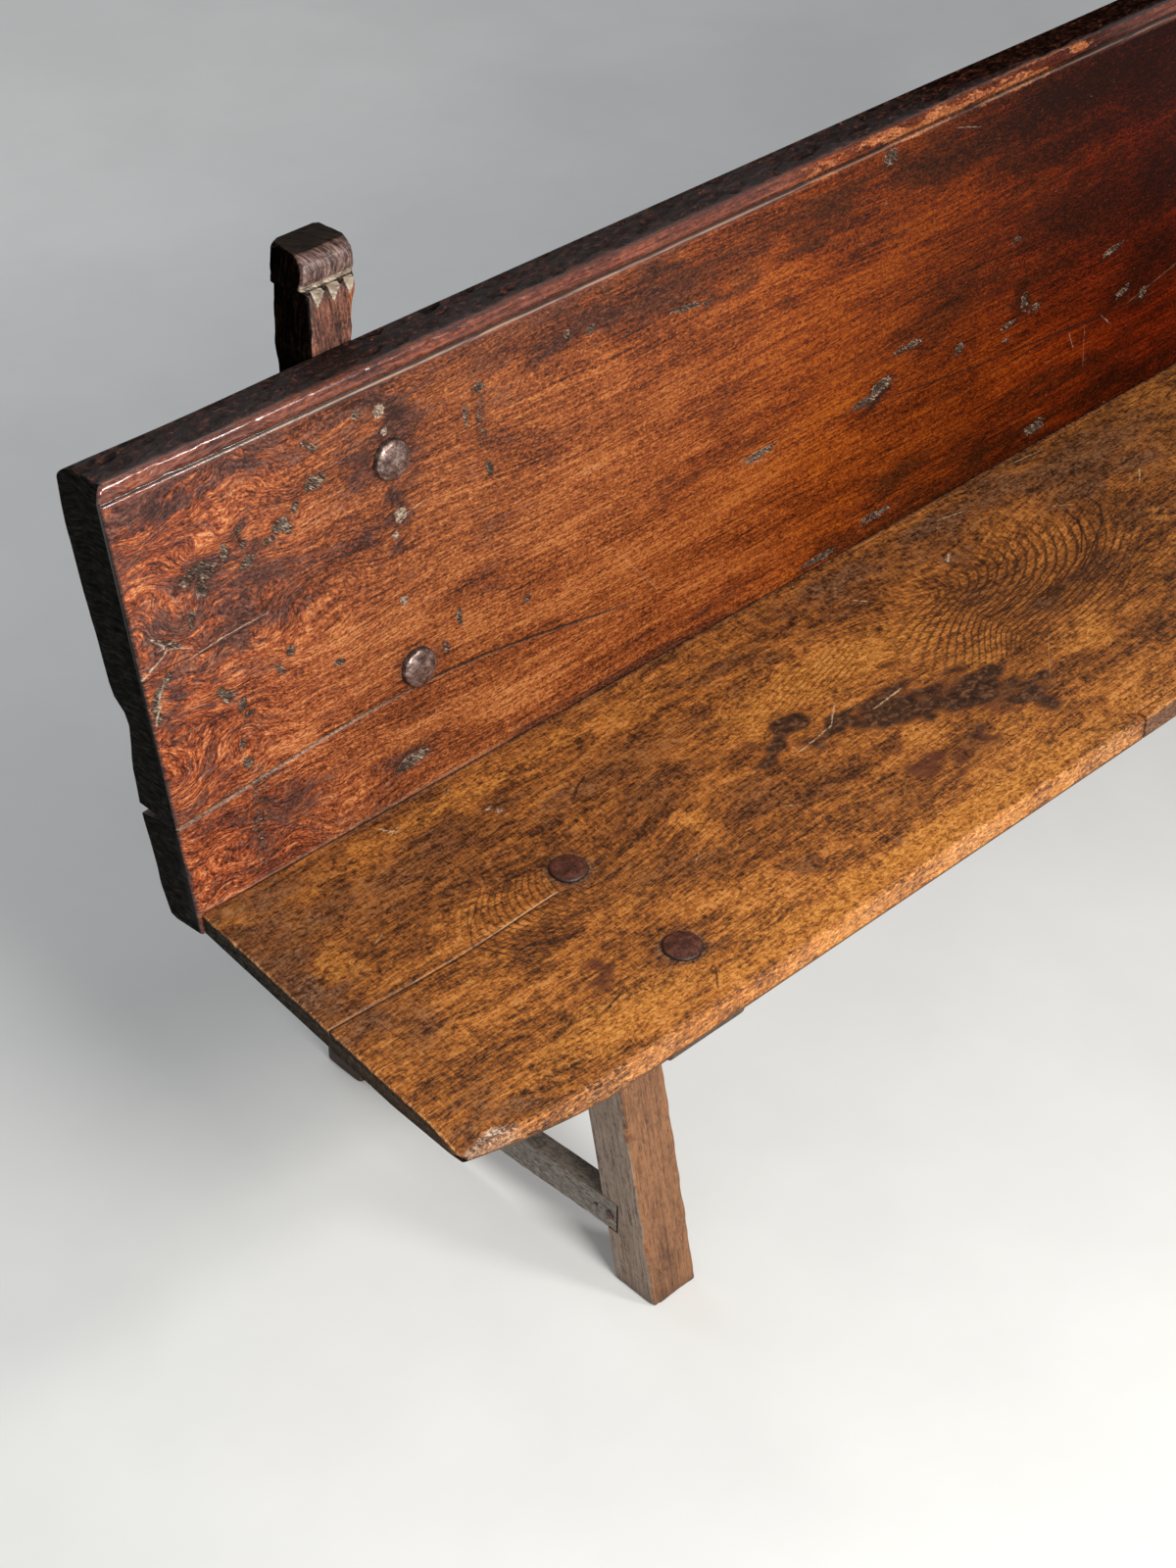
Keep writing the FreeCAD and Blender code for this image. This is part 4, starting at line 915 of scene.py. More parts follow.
# Stains and other marks: u, y, reach along, reach across, strength, tilt if not 0
SEAT_DARK = (
    (50, -18, 60, 16, 0.9, -6), (30, -45, 50, 14, 0.8, 10), (10, -100, 34, 40, 0.8),
    (4, -160, 30, 40, 1.2), (10, -215, 34, 26, 0.8), (60, -75, 70, 30, 0.6),
    (140, -90, 80, 34, 0.5), (230, -75, 70, 26, 0.6), (220, -130, 60, 22, 0.45),
    (330, -75, 60, 24, 0.45), (380, -108, 60, 18, 0.8, 10), (470, -110, 70, 34, 0.6),
    (540, -110, 40, 16, 0.7), (430, -160, 90, 34, 0.6), (350, -250, 50, 26, 0.7, -10),
    (400, -270, 60, 26, 0.6), (500, -230, 70, 40, 0.6), (560, -270, 70, 30, 0.5),
    (470, -340, 22, 16, 0.9, -20), (600, -330, 80, 26, 0.5), (40, -250, 30, 44, 0.6),
    (10, -378, 40, 14, 0.9, -10), (20, -350, 30, 16, 0.6), (40, -395, 40, 9, 1.0, -10),
    (640, -58, 90, 12, 0.9, -3), (672, -84, 30, 14, 1.0, 20), (620, -105, 12, 8, 1.0),
    (740, -30, 60, 16, 0.7), (720, -320, 30, 24, 0.6), (735, -332, 12, 14, 1.0),
    (552, -371, 12, 7, 1.0), (780, -75, 60, 12, 1.0), (840, -40, 70, 24, 1.3),
    (990, -36, 80, 20, 1.2), (950, -62, 150, 20, 0.8), (1110, -40, 130, 30, 1.0),
    (1250, -60, 160, 36, 1.0), (1180, -100, 90, 26, 0.9), (970, -100, 34, 16, 0.9),
    (1280, -110, 60, 30, 1.0), (960, -215, 24, 22, 0.8), (940, -160, 60, 26, 0.6),
    (1060, -215, 70, 20, 0.6), (1180, -180, 60, 34, 0.7), (870, -310, 60, 16, 0.6, 10),
    (1000, -330, 120, 30, 0.4), (1330, -200, 120, 60, 0.7), (830, -255, 26, 20, 0.6, -30),
    (500, -12, 500, 7, 0.5), (1500, -200, 120, 90, 0.8), (1750, -120, 160, 90, 0.9),
    (1950, -300, 90, 90, 0.9), (293, -188.6, 30, 27, 1.0), (312, -200, 22, 16, 0.9),
    (293, -342.1, 27, 25, 0.9), (310, -352, 20, 14, 0.8), (195, -350, 8, 5, 1.1, 10),
    (176, -252, 12, 10, 0.8))
SEAT_BURN = (
    (571, -190, 30, 15, 1.1, 8), (607, -180, 16, 13, 1.2, 40), (552, -204, 18, 8, 0.9),
    (640, -218, 34, 10, 1.1), (664, -206, 40, 8, 0.9, 8), (715, -208, 46, 12, 1.0, -6),
    (700, -234, 46, 18, 1.2, -14), (742, -250, 44, 22, 1.3, -24), (786, -270, 46, 24, 1.4, -14),
    (820, -262, 26, 16, 1.1, -40), (824, -318, 18, 28, 1.0, -20), (800, -226, 26, 9, 0.7, -20),
    (846, -292, 22, 12, 0.9, -40), (735, -328, 14, 13, 0.9))
SEAT_BLUSH = (
    (208, -314, 20, 14, 1.1), (662, -312, 26, 14, 1.2), (690, -345, 40, 8, 0.8, -4),
    (655, -275, 14, 10, 0.8, 30), (740, -335, 24, 12, 0.9), (700, -330, 20, 9, 0.8),
    (250, -75, 40, 14, 0.6), (380, -185, 40, 10, 0.6), (790, -305, 40, 10, 0.7))
SEAT_PALE = (
    (963, -286, 34, 20, 1.6), (1200, -194, 12, 7, 1.6), (1040, -150, 60, 26, 0.5),
    (190, -372, 150, 30, 1.3), (560, -398, 360, 26, 1.6), (760, -340, 130, 34, 0.8),
    (720, -140, 130, 38, 1.6, -4), (600, -140, 60, 40, 1.2, 10), (660, -90, 30, 20, 0.7),
    (28, -20, 18, 11, 2.6, 15), (770, -380, 20, 16, 1.6), (48, -140, 16, 22, 1.3, -20),
    (435, -222, 22, 20, 1.3, 20), (380, -350, 60, 50, 0.9), (230, -395, 170, 22, 0.8),
    (540, -404, 180, 14, 0.9), (860, -398, 160, 22, 0.9), (90, -290, 60, 60, 0.5),
    (190, -170, 40, 24, 0.7), (150, -230, 60, 16, 0.6), (300, -265, 40, 14, 0.8),
    (60, -80, 24, 16, 0.9), (300, -36, 320, 15, 1.0), (700, -280, 50, 24, 0.7, -20),
    (850, -230, 60, 26, 0.9, 25), (640, -385, 80, 20, 0.8), (500, -48, 60, 18, 0.8),
    (1110, -300, 80, 26, 0.4), (1000, -380, 90, 26, 0.5))
SEAT_SCARS = (
    (-14, -402, 14, 7, -10, 2.0), (5, -407, 14, 6, -8, 2.2), (26, -413, 16, 4, -6, 1.8),
    (300, -66, 6, 4, 0, 1.4), (305, -76, 4, 4, 0, 1.0), (956, -88, 6, 4, 30, 1.0),
    (288, -18, 6, 3, 0, 0.8))
SEAT_PALE_STROKES = (
    (592, -214, 641, -207, 1.0), (641, -207, 668, -187, 1.0), (700, -217, 736, -214, 1.2),
    (204, -22, 210, -31, 1.4), (208, -31, 215, -28, 1.0), (870, -305, 925, -258, 0.3),
    (1128, -104, 1140, -112, 0.9), (1012, -32, 1040, -38, 0.9), (1165, -12, 1205, -16, 0.8),
    (1240, -134, 1256, -122, 1.1), (18, -40, 60, -28, 0.3), (93, -142, 102, -138, 0.6),
    (826, -76, 830, -81, 1.2), (1170, -50, 1186, -48, 0.7), (955, -92, 964, -86, 1.6),
    (392, -262, 398, -258, 0.7), (516, -266, 520, -268, 0.9))
SEAT_DARK_STROKES = (
    (1126, -122, 1122, -140, 1.6), (1122, -140, 1106, -158, 1.8), (1106, -158, 1072, -184, 1.3),
    (1072, -184, 1010, -206, 0.8), (1168, -112, 1166, -134, 2.4), (1166, -134, 1142, -158, 3.2),
    (1142, -158, 1088, -186, 1.6), (1088, -186, 1046, -205, 1.2), (1046, -205, 960, -226, 0.7),
    (1080, -256, 1200, -240, 0.9), (1200, -240, 1300, -222, 0.9), (154, -206, 168, -236, 1.1),
    (168, -236, 176, -262, 1.0), (154, -206, 170, -186, 0.9), (170, -186, 214, -152, 0.7),
    (440, -276, 620, -283, 0.7), (280, -400, 292, -386, 1.1), (188, -353, 204, -349, 1.4),
    (618, -190, 664, -184, 0.9), (24, -236, 34, -334, 0.7), (60, -187, 120, -150, 0.5),
    (380, -106, 400, -96, 1.6), (120, -200, 190, -148, 0.5), (100, -216, 128, -262, 0.5),
    (200, -150, 206, -118, 0.6), (640, -204, 700, -200, 0.9), (690, -136, 760, -118, 0.5),
    (700, -156, 790, -128, 0.5), (700, -170, 800, -138, 0.5), (540, -48, 760, -58, 0.8),
    (1000, -300, 1090, -280, 0.6), (870, -318, 1000, -290, 0.5), (206, -196, 240, -160, 0.6),
    (206, -196, 230, -246, 0.6), (340, -68, 420, -74, 0.6), (1190, -196, 1260, -168, 0.9))
SEAT_NAILS = ((293.0, -188.6), (293.0, -342.1))


def corner_slope(u, y, height, front_run, end_run):
    # a slope of this height at each front corner's tip, gone after its two runs
    across_rate = (1 - END_LEAD / SEAT_DEPTH * end_run / front_run) / (
        END_LEAD / SEAT_DEPTH * end_run * TIP_SETBACK / front_run + end_run)
    along_rate = (1 + TIP_SETBACK * across_rate) / front_run
    along = np.minimum(u, LENGTH - u) - TIP_U
    across = y + SEAT_DEPTH - TIP_SETBACK
    return height * np.clip(1 - along * along_rate - across * across_rate, 0, 1)


def ring_phase(u, y, flat_noise):
    # growth rings: straight along the board, arched at the rear nail and in hairpins near u 900
    straight = (y + 9 * flat_noise) / 7.0
    arch_place = np.exp(-(((u - 228) / 84) ** 2 + ((y + 205) / 60) ** 2) ** 2)
    arch = (u - (y + 205) ** 2 / 68.0) / 8.5
    hairpin_place = np.exp(-(((u - 980) / 200) ** 2 + ((y + 185) / 88) ** 2) ** 3)
    spread = 1 + 1.2 * np.clip((905 - u) / 100, 0, 3) ** 1.5
    right = np.clip(u - 880, 0, None) / 2.3
    below = np.where(y < -120, (y + 120) / spread, (y + 120) * 1.1)
    hairpin = (np.hypot(right, below) + 5 * flat_noise) / 6.2
    phase = np.where(arch_place > 0.02, arch, straight)
    phase = np.where(hairpin_place > 0.02, hairpin, phase)
    strength = np.maximum(0.75 * arch_place, 1.0 * hairpin_place)
    gold = np.exp(-(((u - 690) / 110) ** 2 + ((y + 140) / 34) ** 2) ** 2)
    phase = np.where((gold > 0.02) & (hairpin_place <= 0.02), (y - 0.28 * (u - 700)) / 6.5, phase)
    strength = np.maximum(strength, 0.6 * gold * (hairpin_place <= 0.02))
    return phase, strength


def make_seat_board():
    spacing = steps((0.4, 0.4), (5.2, 1.2), (560, 3.2), (PATCH[0] - 0.2, 4.6), (PATCH[0], 0.2),
                    (PATCH[1], 4.6), (PATCH[1] + 0.2, 0.2), (1300, 5.5), (1700, 11.0),
                    (2036.8, 24.0), (2041.6, 1.2), (2042, 0.4))
    n = len(spacing)
    split = -path(spacing, SEAT_SPLIT)
    width = 1.9 * (1 - step(spacing, 150, 276)) + 0.7
    notch = 7.0 * (1 - step(spacing, 228, 276))
    end = np.minimum(spacing, LENGTH - spacing)
    in_patch = (spacing > PATCH[0] - 0.1) & (spacing < PATCH[1] + 0.1)
    run = np.clip(SWEEP_RUN - end, 0, SWEEP_RUN)
    sweep = SWEEP_RADIUS - np.sqrt(SWEEP_RADIUS ** 2 - run ** 2)
    front_y = -SEAT_DEPTH + sweep + np.where(in_patch, PATCH_DEPTH, 0.0)
    round_top = round_in(end, 3.0)
    section = Section(n)
    add = section.add

    def rear_at(z):
        return -0.25 + (SEAT_TOP - z) * -LEAN_SIN / LEAN_COS

    top = SEAT_TOP - round_top
    upper, lower = split + width / 2, split - width / 2
    section.run(70, rear_at(SEAT_TOP), upper, top, "top")
    add(upper, top, "top")
    add(split + width * 0.25, top - notch * 0.7, "notch")
    add(split, top - notch, "notch")
    add(split - width * 0.25, top - notch * 0.7, "notch")
    arris = front_y + SEAT_ARRIS
    section.run(72, lower, arris, top, "top")
    for k in range(7):
        a = math.radians(15 * k)
        add(arris - SEAT_ARRIS * math.sin(a), top - SEAT_ARRIS * (1 - math.cos(a)), "edge")
    for k in range(1, 8):
        add(front_y, top - SEAT_ARRIS + (SEAT_UNDER + UNDER_ROUND - top + SEAT_ARRIS) * k / 8,
            "edge")
    for k in range(4):
        a = math.radians(30 * k)
        add(front_y + UNDER_ROUND * (1 - math.cos(a)), SEAT_UNDER + UNDER_ROUND * (1 - math.sin(a)),
            "under_edge")
    for k in range(1, 25):
        add(front_y + UNDER_ROUND + (rear_at(SEAT_UNDER) - front_y - UNDER_ROUND) * k / 24,
            SEAT_UNDER, "under")
    for k in range(1, 6):
        z = SEAT_UNDER + (top - SEAT_UNDER) * k / 6
        add(rear_at(z), z, "rear")

    y, z, kinds = section.stacked()
    lead = END_LEAD * (-y) / SEAT_DEPTH - round_in(y - front_y[:, None], TIP_ROUND)
    u = spacing[:, None] - lead * (1 - 2 * spacing[:, None] / LENGTH)
    # Under the ends the board is planed thinner, and both corners are worn thin
    bevel = END_BEVEL * np.clip(1 - end[:, None] / END_BEVEL_RUN, 0, 1)
    rise = np.maximum(bevel, corner_slope(u, y, *TIP_RISE))
    drop = corner_slope(u, y, *TIP_DROP)
    share = (SEAT_TOP - z) / (SEAT_TOP - SEAT_UNDER)
    z = SEAT_TOP - drop - (SEAT_TOP - SEAT_UNDER - drop - rise) * share

    top_face = np.isin(kinds, ("top", "notch"))[None, :]
    edge = (kinds == "edge")[None, :]
    under = np.isin(kinds, ("under", "under_edge", "rear"))[None, :]
    plane = np.stack([u, y, z], -1)
    hollow, gouge = scar_marks(u, y, SEAT_SCARS, 61)
    wave = 0.5 * fbm(plane, (140, 70, 90), 3, 51) + 0.16 * fbm(plane, (30, 14, 20), 2, 53)
    corner = np.exp(-((u + 4) / 42.0) ** 2 - ((y + 405) / 17.0) ** 2)
    hewn = corner * (0.8 + 2.4 * fbm(plane, (11, 8, 9), 3, 57))
    calm = step(-y, 3, 16) * (1 - round_marks(u, y, SEAT_NAILS, 20, 40))
    z = z + np.where(top_face, np.minimum(wave - 0.25, 0.2) * calm - hollow - hewn, 0)
    z = z - np.where(edge, (hewn + hollow) * np.clip((z - 436) / 14, 0, 1), 0)
    nibble = np.clip(fbm(plane, (18, 9, 8), 2, 71) - 0.15, 0, 1) * 3.0
    z = z - np.where(top_face & (spacing[:, None] < 5), nibble * (1 - spacing[:, None] / 5), 0)
    dent = np.clip(fbm(plane, (40, 12, 10), 3, 73) - 0.20, 0, 1) * 2.2
    y = y + np.where(edge, dent + corner * 1.4 * (0.5 + fbm(plane, (10, 8, 7), 2, 59)), 0)
    z = z + np.where((kinds == "under")[None, :],
                     0.9 * fbm(plane, (60, 36, 30), 3, 75) * step(end[:, None], 0, 20), 0)

    flat = np.stack([u, y, 0 * u], -1)
    broad = fbm(flat, (230, 70, 50), 3, 81)
    phase, rings = ring_phase(u, y, broad)
    around = np.where(edge | under, y - (SEAT_TOP - z), y)
    knots = 34 * np.exp(-((u - 290) / 120) ** 2 - ((y + 205) / 60) ** 2)
    knots = knots + 50 * np.exp(-((u - 960) / 150) ** 2 - ((y + 150) / 70) ** 2)
    grain = around + 9 * broad + knots
    rings = np.maximum(rings, 0.16 * step(fbm(flat, (160, 40, 40), 2, 85), -0.1, 0.4))
    bent_u = u + 30 * fbm(flat, (30, 13, 20), 3, 87)
    bent_y = y + 20 * fbm(flat, (24, 14, 20), 3, 88)
    burn = blobs(bent_u, bent_y, SEAT_BURN) * np.where(top_face, 1.0, 0)
    dark = blobs(bent_u, bent_y, SEAT_DARK) + 0.12 * step(u, 850, 1300) * step(y, -190, -20)
    dark = dark + 0.22 * (1 - step(u, 60, 420))
    dark = dark + 0.12 * step(y, -260, -120) * (1 - step(u, 480, 600))
    junction = 1 - step(-y, 2, 8)
    dark = np.maximum(dark, 1.3 * junction * step(u, 90, 200))
    for cu, cy in SEAT_NAILS:
        dark = np.maximum(dark, 2.0 * (1 - step(np.abs(np.hypot(u - cu, y - cy) - 20.5), 1.0, 4.5)))
    dark = dark * np.where(edge | under, 0.3, 1.0) * (1 - 0.8 * np.clip(corner, 0, 1))
    # The front edge is marked both as rubbed wear and for a painted highlight
    by_front = 0.95 * np.exp((front_y[:, None] - y) / 7.0)
    front_wear = np.where(edge, 0.75, 0) + np.where(top_face, by_front, 0)
    wear = front_wear * (0.8 + 0.5 * fbm(flat, (60, 20, 20), 2, 83))
    wear = np.maximum(wear, np.where(top_face, 0.7 * (1 - step(end[:, None], 1, 4)), 0))
    at_end = np.where(spacing < 0.1, 1.0, 0.0)[:, None] * step(y + SEAT_DEPTH, 16, 60)
    fields = {
        "grain": grain, "phase": phase, "rings": rings * np.where(top_face, 1.0, 0.3),
        "dark": dark, "burn": burn, "pale": blobs(bent_u, bent_y, SEAT_PALE),
        "blush": blobs(bent_u, bent_y, SEAT_BLUSH),
        "wear": wear, "gouge": np.where(top_face | edge, np.maximum(gouge, corner * 1.2 - 0.2), 0),
        "zone": np.where(under, 1.0, 0.0) + np.zeros_like(u), "endface": at_end,
        "split": np.where(top_face, line_field(y - split[:, None], step(u, 262, 276)), 8),
    }
    add_strokes(fields, top_face, u, y, SEAT_PALE_STROKES, SEAT_DARK_STROKES)
    piece = grid_mesh("seat_board_top", to_row(1, u, y, z), fields)
    settle(piece, "seat_walnut", seat_material, "seat_board")


def make_patch():
    spacing = steps((0.6, 0.3), (239.4, 4.0), (239.9, 0.25))
    section = Section(len(spacing))
    add = section.add
    front, rear = -SEAT_DEPTH, -SEAT_DEPTH + PATCH_DEPTH - 0.15
    # The kind of a column is how far its face has turned from the top to the front
    section.run(5, rear, front + SEAT_ARRIS, SEAT_TOP - 0.2, 0.0)
    for k in range(7):
        a = math.radians(15 * k)
        add(front + SEAT_ARRIS - SEAT_ARRIS * math.sin(a),
            SEAT_TOP - 0.2 - SEAT_ARRIS * (1 - math.cos(a)), k / 6)
    for k in range(1, 7):
        add(front, SEAT_TOP - 3.8 - 21.5 * k / 7, 1.0)
    for k in range(4):
        a = math.radians(30 * k)
        add(front + UNDER_ROUND * (1 - math.cos(a)), SEAT_UNDER + UNDER_ROUND * (1 - math.sin(a)),
            1.0)
    for k in range(1, 4):
        add(front + UNDER_ROUND + (rear - front - UNDER_ROUND) * k / 3, SEAT_UNDER, 1.0)
    for k in range(1, 5):
        add(rear, SEAT_UNDER + 28 * k / 5, 1.0)
    y, z, face = section.stacked()
    u = np.tile((PATCH[0] + 0.15 + spacing)[:, None], (1, y.shape[1]))
    plane = np.stack([u, y, z], -1)
    y = y + np.where(y < front + 6, 0.8 * np.clip(fbm(plane, (30, 10, 9), 3, 91), 0, 1), 0)
    fields = {"grain": y - (SEAT_TOP - z), "dark": 0.25 + 1.1 * face, "pale": 0.6 * (1 - face),
              "wear": 0.75 * np.exp(-((z - SEAT_TOP + 2) / 2.5) ** 2)}
    for key in ("phase", "rings", "burn", "blush", "gouge", "zone", "endface", "scratch_near",
                "vein_near"):
        fields[key] = 0.0
    for key in ("split", "scratch", "vein"):
        fields[key] = 8.0
    piece = grid_mesh("seat_edge_strip", to_row(1, u, y, z), fields)
    settle(piece, "patch_walnut", patch_material, "seat_edge_patch")


# Frames

def outline(width, depth, radius, pitch):
    # rounded rectangle round the origin, with the way along it, starting at its front left
    points = []
    half_w, half_d = width / 2, depth / 2
    corners = ((-half_w, -half_d, 180), (half_w, -half_d, 270), (half_w, half_d, 0),
               (-half_w, half_d, 90))
    for number, (cx, cy, start) in enumerate(corners):
        mid_x = cx - math.copysign(radius, cx)
        mid_y = cy - math.copysign(radius, cy)
        for k in range(5):
            a = math.radians(start + 22.5 * k)
            points.append((mid_x + radius * math.cos(a), mid_y + radius * math.sin(a)))
        next_x, next_y, next_start = corners[(number + 1) % 4]
        end_x = next_x - math.copysign(radius, next_x) + radius * math.cos(math.radians(next_start))
        end_y = next_y - math.copysign(radius, next_y) + radius * math.sin(math.radians(next_start))
        last_x, last_y = points[-1]
        count = max(2, round(math.hypot(end_x - last_x, end_y - last_y) / pitch))
        for k in range(1, count):
            points.append((last_x + (end_x - last_x) * k / count,
                           last_y + (end_y - last_y) * k / count))
    return np.array(points)


def bar(section, along):
    # an outline repeated along a bar: its rings, the places along, and both as points
    local = outline(*section)
    ring = np.tile(local, (len(along), 1, 1))
    places = np.tile(along[:, None], (1, len(local)))
    return ring, places, np.stack([ring[..., 0], ring[..., 1], places], -1)


def inset(ring, depth):
    # pushes outline points toward their own middle by depth
    length = np.linalg.norm(ring, axis=-1, keepdims=True)
    return ring - ring / np.maximum(length, 1e-6) * depth[..., None]


def near_edge(ring, x, y, reach):
    return np.exp(-((ring[..., 0] - x) ** 2 + (ring[..., 1] - y) ** 2) / reach ** 2)


def bar_fields(ring, along, dark, wear):
    return {"grain": along, "girth": ring[..., 0] + ring[..., 1], "dark": dark, "wear": wear}


def block_box(corners):
    mesh = bpy.data.meshes.new("cutter")
    faces = [(0, 1, 2, 3), (7, 6, 5, 4), (0, 4, 5, 1), (1, 5, 6, 2), (2, 6, 7, 3), (3, 7, 4, 0)]
    mesh.from_pydata([(x / 1000, y / 1000, z / 1000) for x, y, z in corners], [], faces)
    return face_outward(mesh)


def knee_at(z):
    # y of the post's front face at a height below its knee
    knee_y, knee_z = back_place(0, POST_FRONT)
    return FOOT_FRONT + (knee_y - FOOT_FRONT) * z / knee_z


def post_rear_at(z):
    # y of its rear face
    rear_y, rear_z = back_place(0, POST_REAR)
    foot = FOOT_FRONT + FOOT_DEPTH
    return foot + (rear_y - foot) * z / rear_z


OUTER = FRAME_U - LEG_WIDTH / 2
LAP_FRONT = LEG_FRONT + (STRETCHER_TOP - STRETCHER_HEIGHT / 2) * SPLAY + LEG_DEPTH - 17.0
LAP_REAR = knee_at(STRETCHER_TOP - STRETCHER_HEIGHT / 2) + 34.0
# The post below its knee: length, and where its outer and inner sides start and drift to
POST_LENGTH, KNEE_HEIGHT = 443.0, 396.0
POST_OUTER, POST_OUTER_DRIFT = 242.0, 8.0
POST_INNER, POST_INNER_DRIFT = 301.0, 2.5
POST_OUTER_LOW = POST_OUTER + POST_OUTER_DRIFT * 87.1 / POST_LENGTH
DRIFT = (OUTER - POST_OUTER_LOW) / (LAP_REAR - LAP_FRONT)


def stretcher_top(y):
    return STRETCHER_TOP - (y - LAP_FRONT) * STRETCHER_FALL


def stretcher_outer(y):
    return OUTER - DRIFT * (y - LAP_FRONT)


def housing(side, y_from, y_to, play):
    # a box round the stretcher's end, for the notch that it sits in
    low_from, low_to = (stretcher_top(y) - STRETCHER_HEIGHT for y in (y_from, y_to))
    corners = []
    for reach in (-12.0, STRETCHER_THICK):
        for y, z in ((y_from, low_from), (y_to, low_to), (y_to, stretcher_top(y_to) + play),
                     (y_from, stretcher_top(y_from))):
            corners.append(to_row(side, stretcher_outer(y) + reach, y, z))
    return block_box(corners)


def make_leg(side, label, seed):
    heights = steps((3.5, 0.9), (372, 3.0), (BEARER_UNDER, 2.0))
    ring, z, plane = bar((LEG_WIDTH, LEG_DEPTH, 2.6, 3.0), heights)
    arris = near_edge(ring, -LEG_WIDTH / 2, -LEG_DEPTH / 2, 6.5)
    other = near_edge(ring, LEG_WIDTH / 2, -LEG_DEPTH / 2, 5.0)
    rag = np.clip(0.55 + 1.5 * fbm(plane, (9, 9, 16), 3, seed), 0, 1.6)
    other_rag = np.clip(0.3 + 1.2 * fbm(plane, (9, 9, 22), 2, seed + 2), 0, 1.5)
    foot_rag = np.clip(fbm(plane, (16, 16, 9), 2, seed + 6), 0, 1)
    depth = 3.0 * arris * rag + 1.0 * other * other_rag
    depth = depth + 0.5 * fbm(plane, (40, 40, 90), 3, seed + 4) + 0.35
    depth = depth + (round_in(z, 3.5) + 2.2 * np.exp(-z / 12.0) * foot_rag)
    wear = arris * rag * 1.1 + 0.35 * other
    dark = 0.75 * np.exp(-z / 22.0) + 0.5 * np.exp(-(BEARER_UNDER - z) / 20.0)
    fields = bar_fields(ring, z, dark, wear)
    ring = inset(ring, depth)
    y = LEG_FRONT + z * SPLAY + LEG_DEPTH / 2 + ring[..., 1]
    piece = grid_mesh(label + "_front_leg_post", to_row(side, FRAME_U + ring[..., 0], y, z), fields)
    cut(piece, housing(side, LAP_FRONT - 3.2, LAP_FRONT + 60, 3.4))
    settle(piece, "frame_walnut", leg_material, label + "_front_leg")


def make_stretcher(side, label, seed):
    half_thick, half_height = STRETCHER_THICK / 2, STRETCHER_HEIGHT / 2
    run = LAP_REAR - LAP_FRONT
    along = steps((1.2, 0.6), (run - 1.2, 3.0), (run, 0.6))
    ring, y, plane = bar((STRETCHER_THICK, STRETCHER_HEIGHT, 1.6, 2.6), LAP_FRONT + along)
    top_edge = near_edge(ring, -half_thick, half_height, 4.0)
    low_edge = near_edge(ring, -half_thick, -half_height, 4.0)
    rag = np.clip(0.4 + 1.4 * fbm(plane, (8, 8, 20), 3, seed), 0, 1.6)
    ends = np.minimum(along, run - along)[:, None]
    depth = (1.4 * top_edge + 1.1 * low_edge) * rag + 0.35 * fbm(plane, (14, 5, 60), 3, seed + 3)
    depth = depth + 0.3 + 0.5 * round_in(ends, 1.2)
    hole = np.hypot(y - OLD_HOLE_Y, ring[..., 1]) / 3.0
    hole = (1 - step(hole, 0.6, 1.3)) * (ring[..., 0] < 0)
    fields = bar_fields(ring, y, hole * 1.5 + 0.3 * np.exp(-ends / 5.0), 0.35 * top_edge * rag)
    ring = inset(ring, depth)
    u = stretcher_outer(y) + half_thick + ring[..., 0] + 2.6 * hole
    z = stretcher_top(y) - half_height + ring[..., 1]
    piece = grid_mesh(label + "_side_stretcher_rail", to_row(side, u, y, z), fields)
    settle(piece, "frame_walnut", stretcher_material, label + "_side_stretcher")


def make_bearer(side, label, seed):
    middle = (SEAT_UNDER + BEARER_UNDER) / 2
    half_width, half_height = 48.0, (SEAT_UNDER - BEARER_UNDER) / 2
    front = 28.0 - SEAT_DEPTH
    along = steps((0.8, 0.4), (6.0, 1.3), (60, 2.8), (knee_at(400.0) - front, 7.0))
    ring, y, plane = bar((2 * half_width, 2 * half_height, 2.2, 4.0), front + along)
    below = np.clip(-ring[..., 1] / half_height, 0, 1)
    nose = round_in(along, 6.0)[:, None] * below * 1.5
    rag = np.clip(0.3 + 1.3 * fbm(plane, (12, 10, 16), 3, seed), 0, 1.4)
    edge = np.maximum(near_edge(ring, half_width, -half_height, 6.0),
                      near_edge(ring, -half_width, -half_height, 6.0))
    depth = 1.6 * edge * rag + 0.6 * fbm(plane, (40, 20, 60), 3, seed + 5) * below
    fields = bar_fields(ring, y, 0.35 + 0.2 * below, 0.5 * edge * rag)
    ring = inset(ring, depth)
    z = np.minimum(middle + ring[..., 1] + nose, SEAT_UNDER)
    body = grid_mesh(label + "_bearer_body", to_row(side, FRAME_U + ring[..., 0], y, z), fields)

    tail = steps((0.6, 0.6), (70.0, 5.0), (77.4, 1.2), (78, 0.3))
    start = knee_at(400.0) - 6.0
    reach = post_rear_at(400.0) + 8.0 - start
    ring, y, _ = bar((26.0, 34.0, 1.5, 3.0), start + tail / 78.0 * reach)
    ring = inset(ring, 0.4 * round_in(78 - tail, 1.5)[:, None] + 0.2 * np.abs(ring[..., 0]) / 13)
    tenon = grid_mesh(label + "_bearer_tenon",
                      to_row(side, FRAME_U + ring[..., 0], y, middle + ring[..., 1]),
                      bar_fields(ring, y, 0.5, 0.0))
    piece = join(label + "_seat_bearer_rail", [body, tenon])
    settle(piece, "frame_walnut", bearer_material, label + "_seat_bearer")


